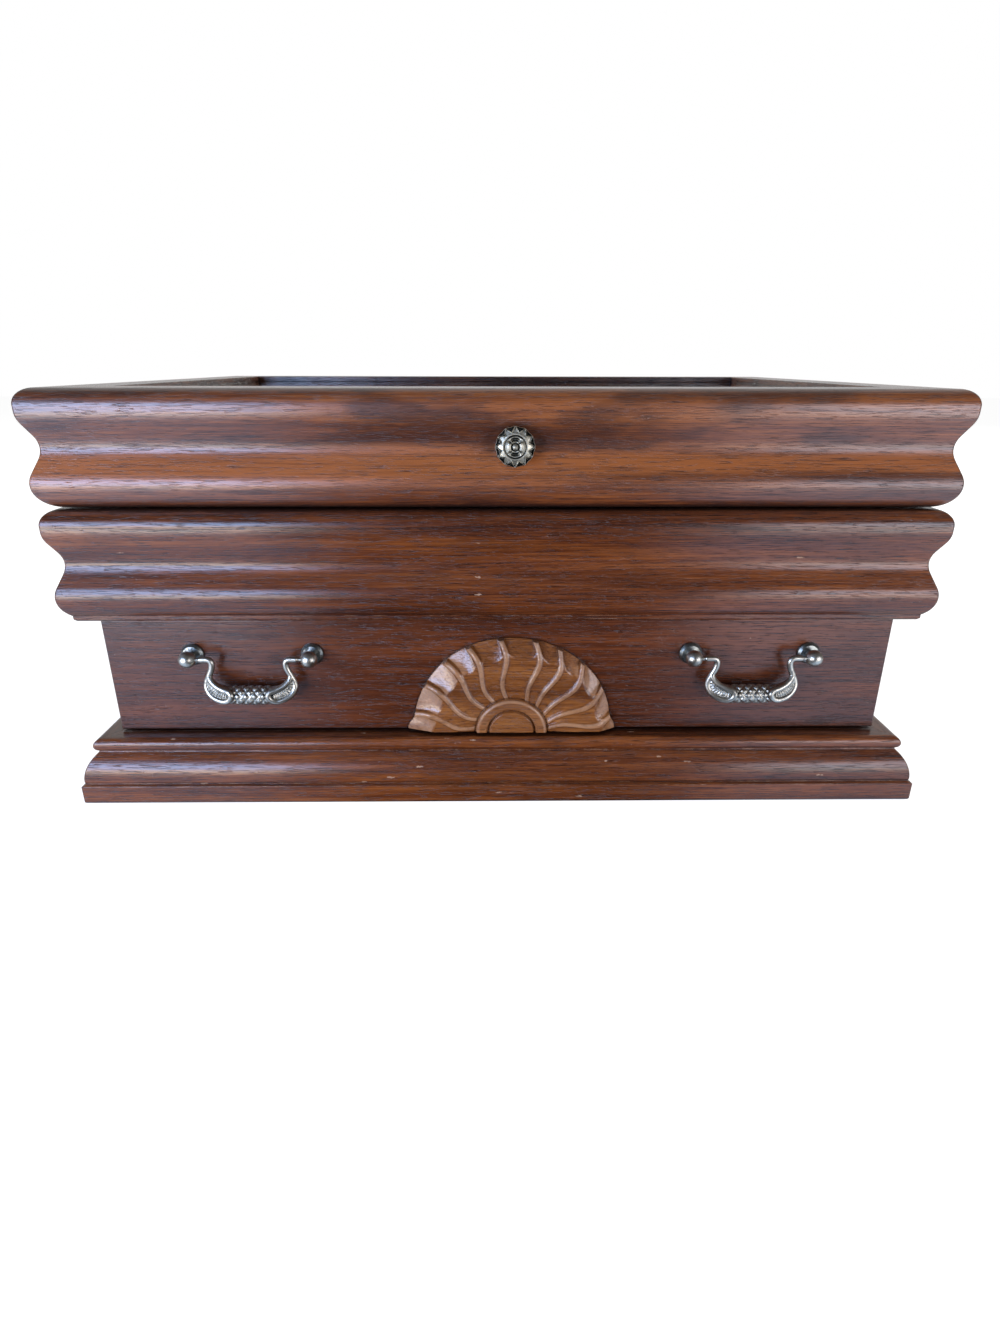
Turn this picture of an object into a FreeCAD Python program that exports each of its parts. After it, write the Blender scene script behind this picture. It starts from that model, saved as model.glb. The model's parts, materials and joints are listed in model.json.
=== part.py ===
import FreeCAD, Part
import math
import os
import re

import Sketcher

Vector = FreeCAD.Vector
Rotation = FreeCAD.Rotation

# Frame: +Z up, the drawer faces -Y, the origin is the middle of the underside.
# An inset is measured inwards from the plane of the outermost beads.

# Driving sizes, in millimetres and degrees
SIZES = (
    ("overall_width", 355.6, "left to right across the outermost beads"),
    ("overall_depth", 254.0, "front to back across the outermost beads"),
    ("seam_gap", 0.3, "open seam between case and lid"),
    ("running_gap", 0.3, "clearance of a piece that moves past another"),
    ("seat_gap", 0.1, "clearance of a panel in its groove"),
    ("wall_inset", 10.5, "inset of the plain case walls"),
    ("board_thickness", 9.0, "side and back boards"),
    ("rail_thickness", 10.0, "front rails above and below the drawer"),
    ("bead_round", 6.0, "radius of the upper edge of the moulding"),
    ("bead_land", 2.2, "upright part of the upper bead"),
    ("cove_depth", 4.4, "depth of the cove behind the beads"),
    ("cove_fall", 13.1, "upper bead to the deepest line of the cove"),
    ("cove_rise", 13.7, "deepest line of the cove to the lower bead"),
    ("upper_slope", 28.0, "slope of the cove's upper side, degrees"),
    ("lower_slope", 25.5, "slope of the cove's lower side, degrees"),
    ("lid_edge_inset", 8.3, "inset where the lid's lower bead meets the seam"),
    ("lid_edge_fall", 9.25, "lid's lower bead to the seam"),
    ("fillet_inset", 3.6, "inset of the square fillet under the case moulding"),
    ("fillet_fall", 8.1, "lower bead to the top of that fillet"),
    ("fillet_land", 2.4, "height of that fillet"),
    ("fillet_ease", 0.9, "bevel on the lower edge of that fillet"),
    ("drawer_opening", 53.45, "ledge of the plinth to the underside of the case moulding"),
    ("plinth_height", 28.4, "floor to the ledge of the plinth"),
    ("plinth_reach", 4.3, "how far the plinth stands outside the beads"),
    ("band_height", 8.6, "flat band at the foot of the plinth"),
    ("band_round", 1.5, "rounding at the foot of the band"),
    ("quirk_inset", 1.6, "narrow quirk above the band"),
    ("quirk_height", 0.7, "height of that quirk"),
    ("ovolo_inset", 1.2, "foot of the ovolo behind the band"),
    ("ovolo_foot", 10.4, "height at which the ovolo starts"),
    ("neck_inset", 7.1, "neck between ovolo and nose"),
    ("neck_land", 0.5, "upright part of the neck"),
    ("nose_inset", 5.6, "inset of the nose of the ledge"),
    ("nose_radius", 3.0, "rounding of that nose"),
    ("felt_thickness", 1.0, "felt under the bottom panel"),
    ("bottom_thickness", 4.0, "bottom panel"),
    ("floor_rise", 1.0, "underside of the case moulding to that of the compartment floor"),
    ("floor_thickness", 4.0, "compartment floor"),
    ("groove_depth", 3.0, "grooves that hold the panels"),
    ("runner_width", 12.0, "drawer runner"),
    ("runner_height", 10.0, "drawer runner"),
    ("block_radius", 14.0, "quarter-round glue blocks in the plinth"),
    ("stop_height", 14.0, "blocks that stop the drawer at the back"),
    ("stop_depth", 8.0, "the same blocks, front to back"),
    ("lining_thickness", 1.5, "velvet on card"),
    ("lining_margin", 7.0, "bare wood above the wall linings"),
    ("divider_x", 60.0, "middle of the box to the middle of a divider"),
    ("divider_thickness", 5.0, "covered dividers"),
    ("divider_height", 29.0, "covered dividers"),
    ("cross_y", 18.0, "middle of the box to the cross divider"),
    ("roll_height", 13.0, "upright part of a ring roll"),
    ("roll_count", 7, "ring rolls"),
    ("lip_reach", 26.0, "inset of the lid opening"),
    ("lip_thickness", 3.0, "lip over the glass"),
    ("glass_thickness", 3.0, "lid glass"),
    ("glass_gap", 0.5, "glass edge to the lid wall"),
    ("stop_bead", 6.0, "square beads that hold the glass from below"),
    ("hinge_margin", 77.8, "inset of the middle of a hinge from the box's side"),
    ("hinge_length", 30.0, "hinge leaf"),
    ("hinge_inset", 3.8, "inset of the hinge axis"),
    ("leaf_thickness", 1.0, "hinge leaf"),
    ("leaf_reach", 14.6, "hinge axis to the free edge of a leaf"),
    ("barrel_radius", 2.0, "hinge barrel"),
    ("pin_radius", 1.0, "hinge pin"),
    ("pin_play", 0.05, "clearance of the moving knuckle round the pin"),
    ("hinge_screw_inset", 14.2, "inset of the hinge screws"),
    ("hinge_screw_spacing", 19.0, "between the two screws of a leaf"),
    ("hinge_screw_radius", 1.1, "shank"),
    ("hinge_screw_head", 2.0, "head radius"),
    ("hinge_screw_length", 10.0, "overall"),
    ("knob_x", 5.6, "knob to the right of the middle"),
    ("knob_drop", 20.2, "lid top to the middle of the knob"),
    ("knob_radius", 7.5, "knob head"),
    ("knob_head", 5.2, "thickness of the knob head"),
    ("knob_back_radius", 6.6, "flat back of the knob head"),
    ("knob_bevel", 1.6, "back of the knob head to its rim"),
    ("knob_rim", 1.0, "width of the rim"),
    ("knob_crown_radius", 4.8, "start of the crown"),
    ("knob_crown_rise", 1.0, "height of the crown"),
    ("knob_neck", 5.4, "seat to the back of the knob head"),
    ("knob_neck_radius", 3.0, "knob neck"),
    ("knob_seat", 0.6, "depth of the flat seat cut into the cove"),
    ("knob_bore", 6.0, "depth of the knob's threaded bore"),
    ("knob_screw_radius", 1.5, "knob screw"),
    ("knob_screw_head", 3.4, "head radius"),
    ("knob_screw_rise", 2.0, "head thickness"),
    ("drawer_foot_gap", 0.8, "gap under the drawer front"),
    ("drawer_head_gap", 1.3, "gap above the drawer front"),
    ("drawer_side", 7.0, "thickness of drawer sides and back"),
    ("drawer_side_gap", 1.0, "drawer side to case side"),
    ("drawer_box_drop", 9.5, "top of the drawer front to the top of its sides"),
    ("drawer_bottom", 3.0, "drawer bottom panel"),
    ("drawer_bottom_rise", 4.0, "lower edge of the sides to the panel"),
    ("drawer_lining_drop", 2.1, "nuts of the handles to the top of the drawer's velvet"),
    ("face_round", 0.8, "eased edges of the drawer front"),
    ("fan_x", 5.3, "fan to the right of the middle"),
    ("fan_gap", 0.7, "drawer's lower edge to the fan"),
    ("fan_head_gap", 7.15, "fan to the drawer's upper edge"),
    ("fan_rim", 2.2, "thickness at the rim"),
    ("fan_slope_run", 8.0, "rim to where the flutes start to slope down to it"),
    ("fan_slope_rise", 5.3, "thickness there"),
    ("fan_swell_run", 16.9, "rim to where the flutes are thickest"),
    ("fan_crown", 6.2, "greatest thickness"),
    ("fan_valley", 1.0, "valley between the flutes and the raised ring"),
    ("fan_valley_rise", 4.5, "thickness in that valley"),
    ("fan_hub", 15.6, "outer radius of the raised ring"),
    ("fan_ring", 3.0, "width of the raised ring"),
    ("fan_trough_rise", 4.3, "thickness between the ring and the boss"),
    ("fan_boss", 10.4, "radius of the middle boss"),
    ("fan_trough", 0.6, "foot of the boss to the slope of the ring"),
    ("fan_boss_crown", 8.3, "radius of the flat middle of the boss"),
    ("handle_inset", 43.9, "inside of a drawer side to the middle of a handle"),
    ("handle_shift", 1.1, "both handles to the right of the middle"),
    ("handle_drop", 15.55, "top of the drawer front to the bail pivots"),
    ("handle_spacing", 50.8, "between the two posts of a handle"),
    ("pivot_reach", 7.0, "drawer face to the bail pivot"),
    ("rosette_radius", 4.75, "rosette"),
    ("rosette_rise", 2.4, "rosette"),
    ("rosette_edge", 1.0, "upright edge of the rosette"),
    ("rosette_dome_radius", 3.8, "shoulder of the rosette's dome"),
    ("rosette_dome_fall", 0.4, "top of the rosette to that shoulder"),
    ("post_radius", 1.9, "post neck"),
    ("ball_radius", 3.55, "ball end of the post"),
    ("shank_radius", 1.5, "threaded shank of the post"),
    ("shank_tail", 4.0, "shank behind the drawer front"),
    ("nut_radius", 3.2, "across the corners of the nut"),
    ("nut_height", 2.4, "nut"),
    ("tenon_radius", 0.95, "round tenon of the bail"),
    ("tenon_play", 0.05, "clearance round the tenon"),
    ("tenon_depth", 2.4, "tenon inside the ball"),
    ("bail_play", 1.1, "bail shoulder to ball"),
    ("rod_radius", 1.35, "bail arms"),
    ("elbow_x", 15.7, "middle of the bail to its elbow"),
    ("waist_x", 16.1, "middle of the bail to the upper arm"),
    ("waist_drop", 4.2, "pivot to the upper arm's bend"),
    ("hip_x", 19.3, "middle of the bail to its widest bend"),
    ("hip_drop", 12.0, "pivot to the widest bend"),
    ("heel_x", 15.9, "middle of the bail to the foot of the arm"),
    ("grip_drop", 16.3, "pivot to the middle of the grip"),
    ("grip_half", 14.6, "half the length of the thick grip"),
    ("grip_radius", 4.0, "grip at its middle"),
    ("swell_x", 5.8, "middle of the bail to the end of the thick middle"),
    ("swell_radius", 3.9, "grip there"),
    ("tongue_x", 11.7, "middle of the bail to the tongues' ends"),
    ("tongue_radius", 3.0, "grip there"),
    ("grip_tip_radius", 1.2, "grip at its ends, sunk in the arms"),
    ("elbow_bend", 1.75, "bend of the arms beside the tenons and the grip"),
    ("arm_bend", 3.25, "gentler bends of the arms"),
)

# Sizes that follow from the driving ones
DERIVED = {
    "half_width": "overall_width / 2",
    "half_depth": "overall_depth / 2",
    "case_x": "half_width - wall_inset",
    "case_y": "half_depth - wall_inset",
    "inner_x": "case_x - board_thickness",
    "inner_back": "case_y - board_thickness",
    "inner_front": "rail_thickness - case_y",
    "moulding_height": "low_bead + fillet_fall + fillet_land",
    "moulding_foot": "plinth_height + drawer_opening",
    "case_top": "moulding_foot + moulding_height",
    "seam_height": "case_top + seam_gap / 2",
    "case_foot": "felt_thickness + bottom_thickness",
    "lid_foot": "case_top + seam_gap",
    "lid_height": "low_bead + lid_edge_fall",
    "overall_height": "lid_foot + lid_height",
    "lid_wall": "wall_inset + board_thickness",
    "land_end": "bead_round + bead_land",
    "cove_line": "land_end + cove_fall",
    "low_bead": "cove_line + cove_rise",
    "upper_radius": "(cove_fall * sin(upper_slope) - cove_depth * cos(upper_slope))"
                    " / (2 - 2 * cos(upper_slope))",
    "lower_radius": "(cove_rise * sin(lower_slope) - cove_depth * cos(lower_slope))"
                    " / (2 - 2 * cos(lower_slope))",
    "upper_in": "upper_radius * (1 - cos(upper_slope))",
    "upper_down": "upper_radius * sin(upper_slope)",
    "lower_in": "lower_radius * (1 - cos(lower_slope))",
    "lower_down": "lower_radius * sin(lower_slope)",
    "lid_edge_radius": "(lid_edge_inset ^ 2 + lid_edge_fall ^ 2) / (2 * lid_edge_inset)",
    "fillet_radius": "(fillet_inset ^ 2 + fillet_fall ^ 2) / (2 * fillet_inset)",
    "plinth_depth": "plinth_reach + wall_inset",
    "nose_x": "nose_inset + nose_radius",
    "nose_z": "plinth_height - nose_radius",
    "neck_top": "nose_z - sqrt(nose_radius ^ 2 - (nose_x - neck_inset) ^ 2)",
    "ovolo_top": "neck_top - neck_land",
    "ovolo_in": "neck_inset - ovolo_inset",
    "ovolo_rise": "ovolo_top - ovolo_foot",
    "ovolo_radius": "(ovolo_in ^ 2 + ovolo_rise ^ 2) / (2 * ovolo_in)",
    "floor_height": "moulding_foot + floor_rise",
    "floor_top": "floor_height + floor_thickness",
    "velvet_floor": "floor_top + lining_thickness",
    "velvet_top": "case_top - lining_margin",
    "velvet_x": "inner_x - lining_thickness",
    "velvet_front": "inner_front + lining_thickness",
    "velvet_back": "inner_back - lining_thickness",
    "divider_in": "divider_x - divider_thickness / 2",
    "cross_front": "cross_y - divider_thickness / 2",
    "roll_pitch": "(cross_front - velvet_front) / roll_count",
    "roll_radius": "roll_pitch / 2 - seat_gap",
    "glass_top": "overall_height - lip_thickness",
    "glass_foot": "glass_top - glass_thickness",
    "glass_x": "half_width - lid_wall - glass_gap",
    "glass_y": "half_depth - lid_wall - glass_gap",
    "hinge_x": "half_width - hinge_margin",
    "axis_y": "half_depth - hinge_inset",
    "leaf_clear": "barrel_radius + running_gap",
    "knuckle_length": "(hinge_length - 2 * running_gap) / 3",
    "screw_y": "half_depth - hinge_screw_inset",
    "knob_height": "overall_height - knob_drop",
    "knob_seat_y": "cove_depth + knob_seat - half_depth",
    "drawer_foot": "plinth_height + drawer_foot_gap",
    "drawer_head": "moulding_foot - drawer_head_gap",
    "drawer_front_thickness": "rail_thickness - running_gap",
    "drawer_back_face": "inner_front - running_gap",
    "drawer_x": "inner_x - drawer_side_gap",
    "drawer_in_x": "drawer_x - drawer_side",
    "box_foot": "plinth_height + running_gap",
    "box_top": "drawer_head - drawer_box_drop",
    "box_back": "inner_back - stop_depth - running_gap",
    "box_in_back": "box_back - drawer_side",
    "panel_foot": "box_foot + drawer_bottom_rise",
    "panel_top": "panel_foot + drawer_bottom",
    "fan_radius": "drawer_head - drawer_foot - fan_gap - fan_head_gap",
    "handle_x": "drawer_in_x - handle_inset",
    "handle_height": "drawer_head - handle_drop",
    "drawer_velvet_top": "handle_height - nut_radius - drawer_lining_drop",
    "pivot_y": "-case_y - pivot_reach",
    "ball_in": "handle_spacing / 2 - ball_radius",
    "tenon_tip": "ball_in + tenon_depth",
    "shoulder": "ball_in - bail_play",
}

doc = FreeCAD.newDocument("jewelry_box")
sheet = doc.addObject("Spreadsheet::Sheet", "Sizes")
for row, (alias, number, note) in enumerate(SIZES, start=1):
    sheet.set(f"A{row}", alias)
    sheet.set(f"B{row}", str(number))
    sheet.setAlias(f"B{row}", alias)
    sheet.set(f"C{row}", note)
doc.recompute()

ALIASES = {alias for alias, number, note in SIZES}
NODES = []


def formula(text):
    """Write a size in words as an expression on the sheet's cells."""
    def lead(match):
        word = match.group()
        if word in ALIASES:
            return "Sizes." + word
        if word in DERIVED:
            return "(" + formula(DERIVED[word]) + ")"
        return word
    return re.sub(r"[a-z_]+", lead, str(text))


def number_of(text):
    """The same size as a plain number."""
    result = sheet.evalExpression(formula(text))
    return float(getattr(result, "Value", result))


def bind(item, prop, text):
    """Tie one property of an object to the sheet."""
    item.setExpression(prop, formula(text))


def place(item, x="0", y="0", z="0", turn=None):
    """Put an object at a place worked out from the sheet."""
    if turn is not None:
        item.Placement = FreeCAD.Placement(Vector(0, 0, 0), turn)
    for prop, text in zip("xyz", (x, y, z)):
        bind(item, f"Placement.Base.{prop}", text)
    return item


def node(item, name):
    """Name a finished sub-part and keep it for the files."""
    item.Label = name
    NODES.append(item)
    return item


# Plain solids and their cuts
X_AXIS = Rotation(Vector(0, 1, 0), 90)
Y_BACK = Rotation(Vector(1, 0, 0), -90)
Y_FRONT = Rotation(Vector(1, 0, 0), 90)


def block(name, x, y, z):
    """A box between the two values given for each axis."""
    item = doc.addObject("Part::Box", name)
    for prop, (low, high) in zip(("Length", "Width", "Height"), (x, y, z)):
        bind(item, prop, f"({high}) - ({low})")
    return place(item, x[0], y[0], z[0])


def rod(name, radius, length, x, y, z, turn=None):
    """A cylinder from a point, along +Z or along the turned axis."""
    item = doc.addObject("Part::Cylinder", name)
    bind(item, "Radius", radius)
    bind(item, "Height", length)
    return place(item, x, y, z, turn)


def cone(name, foot, head, length, x, y, z, turn=None):
    """A cone from a point, along +Z or along the turned axis."""
    item = doc.addObject("Part::Cone", name)
    bind(item, "Radius1", foot)
    bind(item, "Radius2", head)
    bind(item, "Height", length)
    return place(item, x, y, z, turn)


def fuse(name, items):
    """One solid made of several that meet."""
    item = doc.addObject("Part::MultiFuse", name)
    item.Shapes = items
    return item


def group(name, items):
    """Several separate solids in one node."""
    item = doc.addObject("Part::Compound", name)
    item.Links = items
    return item


def cut(name, base, tools):
    """A solid with other solids taken out of it."""
    item = doc.addObject("Part::Cut", name)
    item.Base = base
    item.Tool = tools[0] if len(tools) == 1 else group(name + "_tools", tools)
    return item


# Sketched outlines
def plane_of(body, role):
    """One of the body's own origin planes."""
    return next(item for item in body.Origin.OriginFeatures if item.Role == role)


def arc_centre(start, end, radius, side):
    """Centre of the short arc between two points, on the side given."""
    middle = (start + end) * 0.5
    chord = end - start
    reach = math.sqrt(max(radius ** 2 - chord.Length ** 2 / 4, 0.0))
    across = Vector(-chord.y, chord.x, 0).normalize()
    return middle + across * reach * side


def outline(body, name, role, corners):
    """A closed sketch through corners, each tied to the sheet.

    A corner is (x, y), or (x, y, radius, side) where an arc leads on from it;
    side is 1 where the arc's centre lies to the left of the way on, else -1.
    """
    sketch = body.newObject("Sketcher::SketchObject", name)
    sketch.AttachmentSupport = (plane_of(body, role), [""])
    sketch.MapMode = "FlatFace"
    points = [Vector(number_of(corner[0]), number_of(corner[1]), 0) for corner in corners]
    starts = []
    ends = []
    for index, corner in enumerate(corners):
        start = points[index]
        end = points[(index + 1) % len(points)]
        if len(corner) == 2:
            edge = sketch.addGeometry(Part.LineSegment(start, end), False)
            starts.append((edge, 1))
            ends.append((edge, 2))
            continue
        radius = number_of(corner[2])
        side = corner[3]
        centre = arc_centre(start, end, radius, side)
        first, last = (start, end) if side > 0 else (end, start)
        angles = [math.atan2(point.y - centre.y, point.x - centre.x) for point in (first, last)]
        if angles[1] < angles[0]:
            angles[1] += 2 * math.pi
        circle = Part.Circle(centre, Vector(0, 0, 1), radius)
        edge = sketch.addGeometry(Part.ArcOfCircle(circle, angles[0], angles[1]), False)
        starts.append((edge, 1 if side > 0 else 2))
        ends.append((edge, 2 if side > 0 else 1))
    for index, corner in enumerate(corners):
        edge, end = starts[index]
        sketch.addConstraint(Sketcher.Constraint("Coincident", *ends[index - 1], edge, end))
        for kind, text, number in (("DistanceX", corner[0], points[index].x),
                                   ("DistanceY", corner[1], points[index].y)):
            tie = sketch.addConstraint(Sketcher.Constraint(kind, -1, 1, edge, end, number))
            sketch.renameConstraint(tie, f"{kind}_{index}")
            bind(sketch, f"Constraints.{kind}_{index}", text)
        if len(corner) == 4:
            tie = sketch.addConstraint(Sketcher.Constraint("Radius", edge, number_of(corner[2])))
            sketch.renameConstraint(tie, f"Radius_{index}")
            bind(sketch, f"Constraints.Radius_{index}", corner[2])
    return sketch


def turned(name, role, corners, angle="360"):
    """A piece turned about the vertical axis of its sketch, upper half first."""
    body = doc.addObject("PartDesign::Body", name)
    sketch = outline(body, name + "_outline", role, corners)
    turn = body.newObject("PartDesign::Revolution", name + "_turn")
    turn.Profile = sketch
    turn.ReferenceAxis = (sketch, ["V_Axis"])
    turn.Reversed = True
    bind(turn, "Angle", angle)
    return body


# Mouldings
def cove_and_beads(last):
    """Face of the lid and case mouldings from the flat top down to the last bead."""
    return [
        ("bead_round", "0", "bead_round", 1),
        ("0", "-bead_round"),
        ("0", "-land_end", "upper_radius", 1),
        ("upper_in", "-land_end - upper_down"),
        ("cove_depth - upper_in", "upper_down - cove_line", "upper_radius", -1),
        ("cove_depth", "-cove_line", "lower_radius", -1),
        ("cove_depth - lower_in", "-cove_line - lower_down"),
        ("lower_in", "lower_down - low_bead", "lower_radius", 1),
        ("0", "-low_bead", last, 1),
    ]


LID_PROFILE = cove_and_beads("lid_edge_radius") + [
    ("lid_edge_inset", "-lid_height"),
    ("lid_wall", "-lid_height"),
    ("lid_wall", "-lip_thickness"),
    ("lip_reach", "-lip_thickness"),
    ("lip_reach", "0"),
]
CASE_PROFILE = cove_and_beads("fillet_radius") + [
    ("fillet_inset", "-low_bead - fillet_fall"),
    ("fillet_inset", "fillet_ease - moulding_height"),
    ("fillet_inset + fillet_ease", "-moulding_height"),
    ("wall_inset", "-moulding_height"),
    ("wall_inset", "0"),
]
PLINTH_PROFILE = [
    ("nose_x", "plinth_height", "nose_radius", 1),
    ("nose_inset", "nose_z", "nose_radius", 1),
    ("neck_inset", "neck_top"),
    ("neck_inset", "ovolo_top", "ovolo_radius", 1),
    ("ovolo_inset", "ovolo_foot"),
    ("quirk_inset", "band_height + quirk_height"),
    ("0", "band_height"),
    ("0", "band_round", "band_round", 1),
    ("band_round", "0"),
    ("plinth_depth", "0"),
    ("plinth_depth", "plinth_height"),
]


def moulding(name, profile, length, inner, x, y, z, degrees):
    """A length of moulding, mitred at both ends, with its face towards local -Y."""
    body = doc.addObject("PartDesign::Body", name)
    face = outline(body, name + "_profile", "YZ_Plane", profile)
    pad = body.newObject("PartDesign::Pad", name + "_run")
    pad.Profile = face
    pad.SideType = "Symmetric"
    bind(pad, "Length", length)
    for end, side in (("left", "-"), ("right", "")):
        half = f"{side}({length}) / 2"
        back = f"{half} {'+' if side else '-'} ({inner})"
        corners = [(half, "0"), (half, inner), (back, inner)]
        mitre = outline(body, f"{name}_mitre_{end}", "XY_Plane", corners)
        pocket = body.newObject("PartDesign::Pocket", f"{name}_cut_{end}")
        pocket.Profile = mitre
        pocket.SideType = "Symmetric"
        pocket.Type = "ThroughAll"
    place(body, x, y, z, Rotation(Vector(0, 0, 1), degrees))
    return body


def moulding_ring(prefix, profile, reach, inner, top):
    """Four mitred mouldings round the box: front, right, back and left."""
    half_x = f"half_width + {reach}"
    half_y = f"half_depth + {reach}"
    width = f"2 * ({half_x})"
    depth = f"2 * ({half_y})"
    return {
        "front": moulding(prefix + "front", profile, width, inner, "0", f"-({half_y})", top, 0),
        "right": moulding(prefix + "right", profile, depth, inner, half_x, "0", top, 90),
        "back": moulding(prefix + "back", profile, width, inner, "0", half_y, top, 180),
        "left": moulding(prefix + "left", profile, depth, inner, f"-({half_x})", "0", top, 270),
    }


def hinge_recesses(name, leaf_low, leaf_high):
    """Room for both hinges in a board or moulding: leaf beds and barrel notches."""
    tools = []
    for side, sign in (("left", "-"), ("right", "")):
        middle = f"({sign}hinge_x)"
        low = f"{middle} - hinge_length / 2 - seat_gap"
        high = f"{middle} + hinge_length / 2 + seat_gap"
        tools.append(block(f"{name}_leaf_{side}", (low, high),
                           ("axis_y - leaf_reach - seat_gap", "half_depth"), (leaf_low, leaf_high)))
        tools.append(rod(f"{name}_barrel_{side}", "leaf_clear", "hinge_length + 2 * running_gap",
                         f"{middle} - hinge_length / 2 - running_gap", "axis_y", "seam_height",
                         X_AXIS))
    return tools


def screw_places():
    """Where the hinge screws stand, across the box."""
    return [(f"{side}{end}", f"({sign}hinge_x {step} hinge_screw_spacing / 2)")
            for side, sign in (("left", "-"), ("right", ""))
            for end, step in (("_outer", "-"), ("_inner", "+"))]


def screw_holes(name, foot):
    """Holes for the shanks of the hinge screws."""
    return [rod(f"{name}_hole_{tag}", "hinge_screw_radius", "hinge_screw_length", x, "screw_y", foot)
            for tag, x in screw_places()]


# Plinth and case
def make_plinth():
    """Base mouldings, bottom panel, felt and glue blocks."""
    ring = moulding_ring("plinth_", PLINTH_PROFILE, "plinth_reach", "plinth_depth", "0")
    for side, body in ring.items():
        node(body, "plinth_" + side)
    wide = ("-case_x", "case_x")
    deep = ("-case_y", "case_y")
    node(block("base_felt", wide, deep, ("0", "felt_thickness")), "base_felt")
    node(block("bottom_panel", wide, deep, ("felt_thickness", "case_foot")), "bottom_panel")
    blocks = []
    corners = (("inner_x", "inner_back", 180), ("-inner_x", "inner_back", 270),
               ("-inner_x", "inner_front", 0), ("inner_x", "inner_front", 90))
    for index, (x, y, degrees) in enumerate(corners):
        item = rod(f"glue_block_{index}", "block_radius", "plinth_height - runner_height - case_foot",
                   x, y, "case_foot", Rotation(Vector(0, 0, 1), degrees))
        item.Angle = 90
        blocks.append(item)
    node(group("glue_blocks", blocks), "glue_blocks")


RUNNER_SIDES = (
    ("left", ("-inner_x", "runner_width - inner_x")),
    ("right", ("inner_x - runner_width", "inner_x")),
)


def make_case():
    """Boards, rails, compartment floor, runners and case mouldings."""
    tall = ("case_foot", "case_top")
    floor_bed = block("floor_bed",
                      ("-inner_x - groove_depth - seat_gap", "inner_x + groove_depth + seat_gap"),
                      ("inner_front - groove_depth - seat_gap", "inner_back + groove_depth + seat_gap"),
                      ("floor_height - seat_gap", "floor_top + seat_gap"))
    left = block("side_left_board", ("-case_x", "-inner_x"), ("inner_front", "case_y"), tall)
    right = block("side_right_board", ("inner_x", "case_x"), ("inner_front", "case_y"), tall)
    back = block("back_plain", ("-inner_x", "inner_x"), ("inner_back", "case_y"), tall)
    rail = block("top_rail_board", ("-case_x", "case_x"), ("-case_y", "inner_front"),
                 ("moulding_foot", "case_top"))
    node(cut("side_left", left, [floor_bed]), "side_left")
    node(cut("side_right", right, [floor_bed]), "side_right")
    node(cut("top_rail", rail, [floor_bed]), "top_rail")
    beds = hinge_recesses("back_board", "case_top - leaf_thickness", "case_top")
    holes = screw_holes("back_board", "case_top - hinge_screw_length")
    node(cut("back_board", back, [floor_bed] + beds + holes), "back_board")
    node(block("bottom_rail", ("-case_x", "case_x"), ("-case_y", "inner_front"),
               ("case_foot", "plinth_height")), "bottom_rail")
    node(block("compartment_floor", ("-inner_x - groove_depth", "inner_x + groove_depth"),
               ("inner_front - groove_depth", "inner_back + groove_depth"),
               ("floor_height", "floor_top")), "compartment_floor")
    for side, x in RUNNER_SIDES:
        node(block("runner_" + side, x, ("inner_front", "inner_back"),
                   ("plinth_height - runner_height", "plinth_height")), "runner_" + side)
    stops = [block(f"stop_{side}", x, ("inner_back - stop_depth", "inner_back"),
                   ("plinth_height", "plinth_height + stop_height"))
             for side, x in RUNNER_SIDES]
    node(group("drawer_stops", stops), "drawer_stops")
    ring = moulding_ring("case_run_", CASE_PROFILE, "0", "wall_inset", "case_top")
    notches = hinge_recesses("case_moulding", "case_top - leaf_thickness", "case_top")
    for side, body in ring.items():
        name = "case_moulding_" + side
        node(cut(name, body, notches) if side == "back" else body, name)


def make_compartment():
    """Velvet, dividers and ring rolls of the upper compartment."""
    across = ("-inner_x", "inner_x")
    along = ("inner_front", "inner_back")
    walls = ("velvet_floor", "velvet_top")
    node(block("floor_lining", across, along, ("floor_top", "velvet_floor")), "floor_lining")
    node(block("lining_left", ("-inner_x", "-velvet_x"), along, walls), "lining_left")
    node(block("lining_right", ("velvet_x", "inner_x"), along, walls), "lining_right")
    between = ("-velvet_x", "velvet_x")
    node(block("lining_front", between, ("inner_front", "velvet_front"), walls), "lining_front")
    node(block("lining_back", between, ("velvet_back", "inner_back"), walls), "lining_back")
    rise = ("velvet_floor", "velvet_floor + divider_height")
    free = ("velvet_front + seat_gap", "velvet_back - seat_gap")
    for side, sign in (("left", "-"), ("right", "")):
        x = (f"({sign}divider_x) - divider_thickness / 2", f"({sign}divider_x) + divider_thickness / 2")
        node(block("divider_" + side, x, free, rise), "divider_" + side)
    inside = ("seat_gap - divider_in", "divider_in - seat_gap")
    node(block("divider_cross", inside, ("cross_front", "cross_front + divider_thickness"), rise),
         "divider_cross")
    rolls = []
    for index in range(round(number_of("roll_count"))):
        middle = f"velvet_front + roll_pitch * ({index} + 1 / 2)"
        foot = block(f"roll_foot_{index}", inside,
                     (f"{middle} - roll_radius", f"{middle} + roll_radius"),
                     ("velvet_floor", "velvet_floor + roll_height"))
        crown = rod(f"roll_crown_{index}", "roll_radius", "2 * (divider_in - seat_gap)",
                    inside[0], middle, "velvet_floor + roll_height", X_AXIS)
        rolls.append(fuse(f"ring_roll_{index}", [foot, crown]))
    node(group("ring_rolls", rolls), "ring_rolls")


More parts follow.
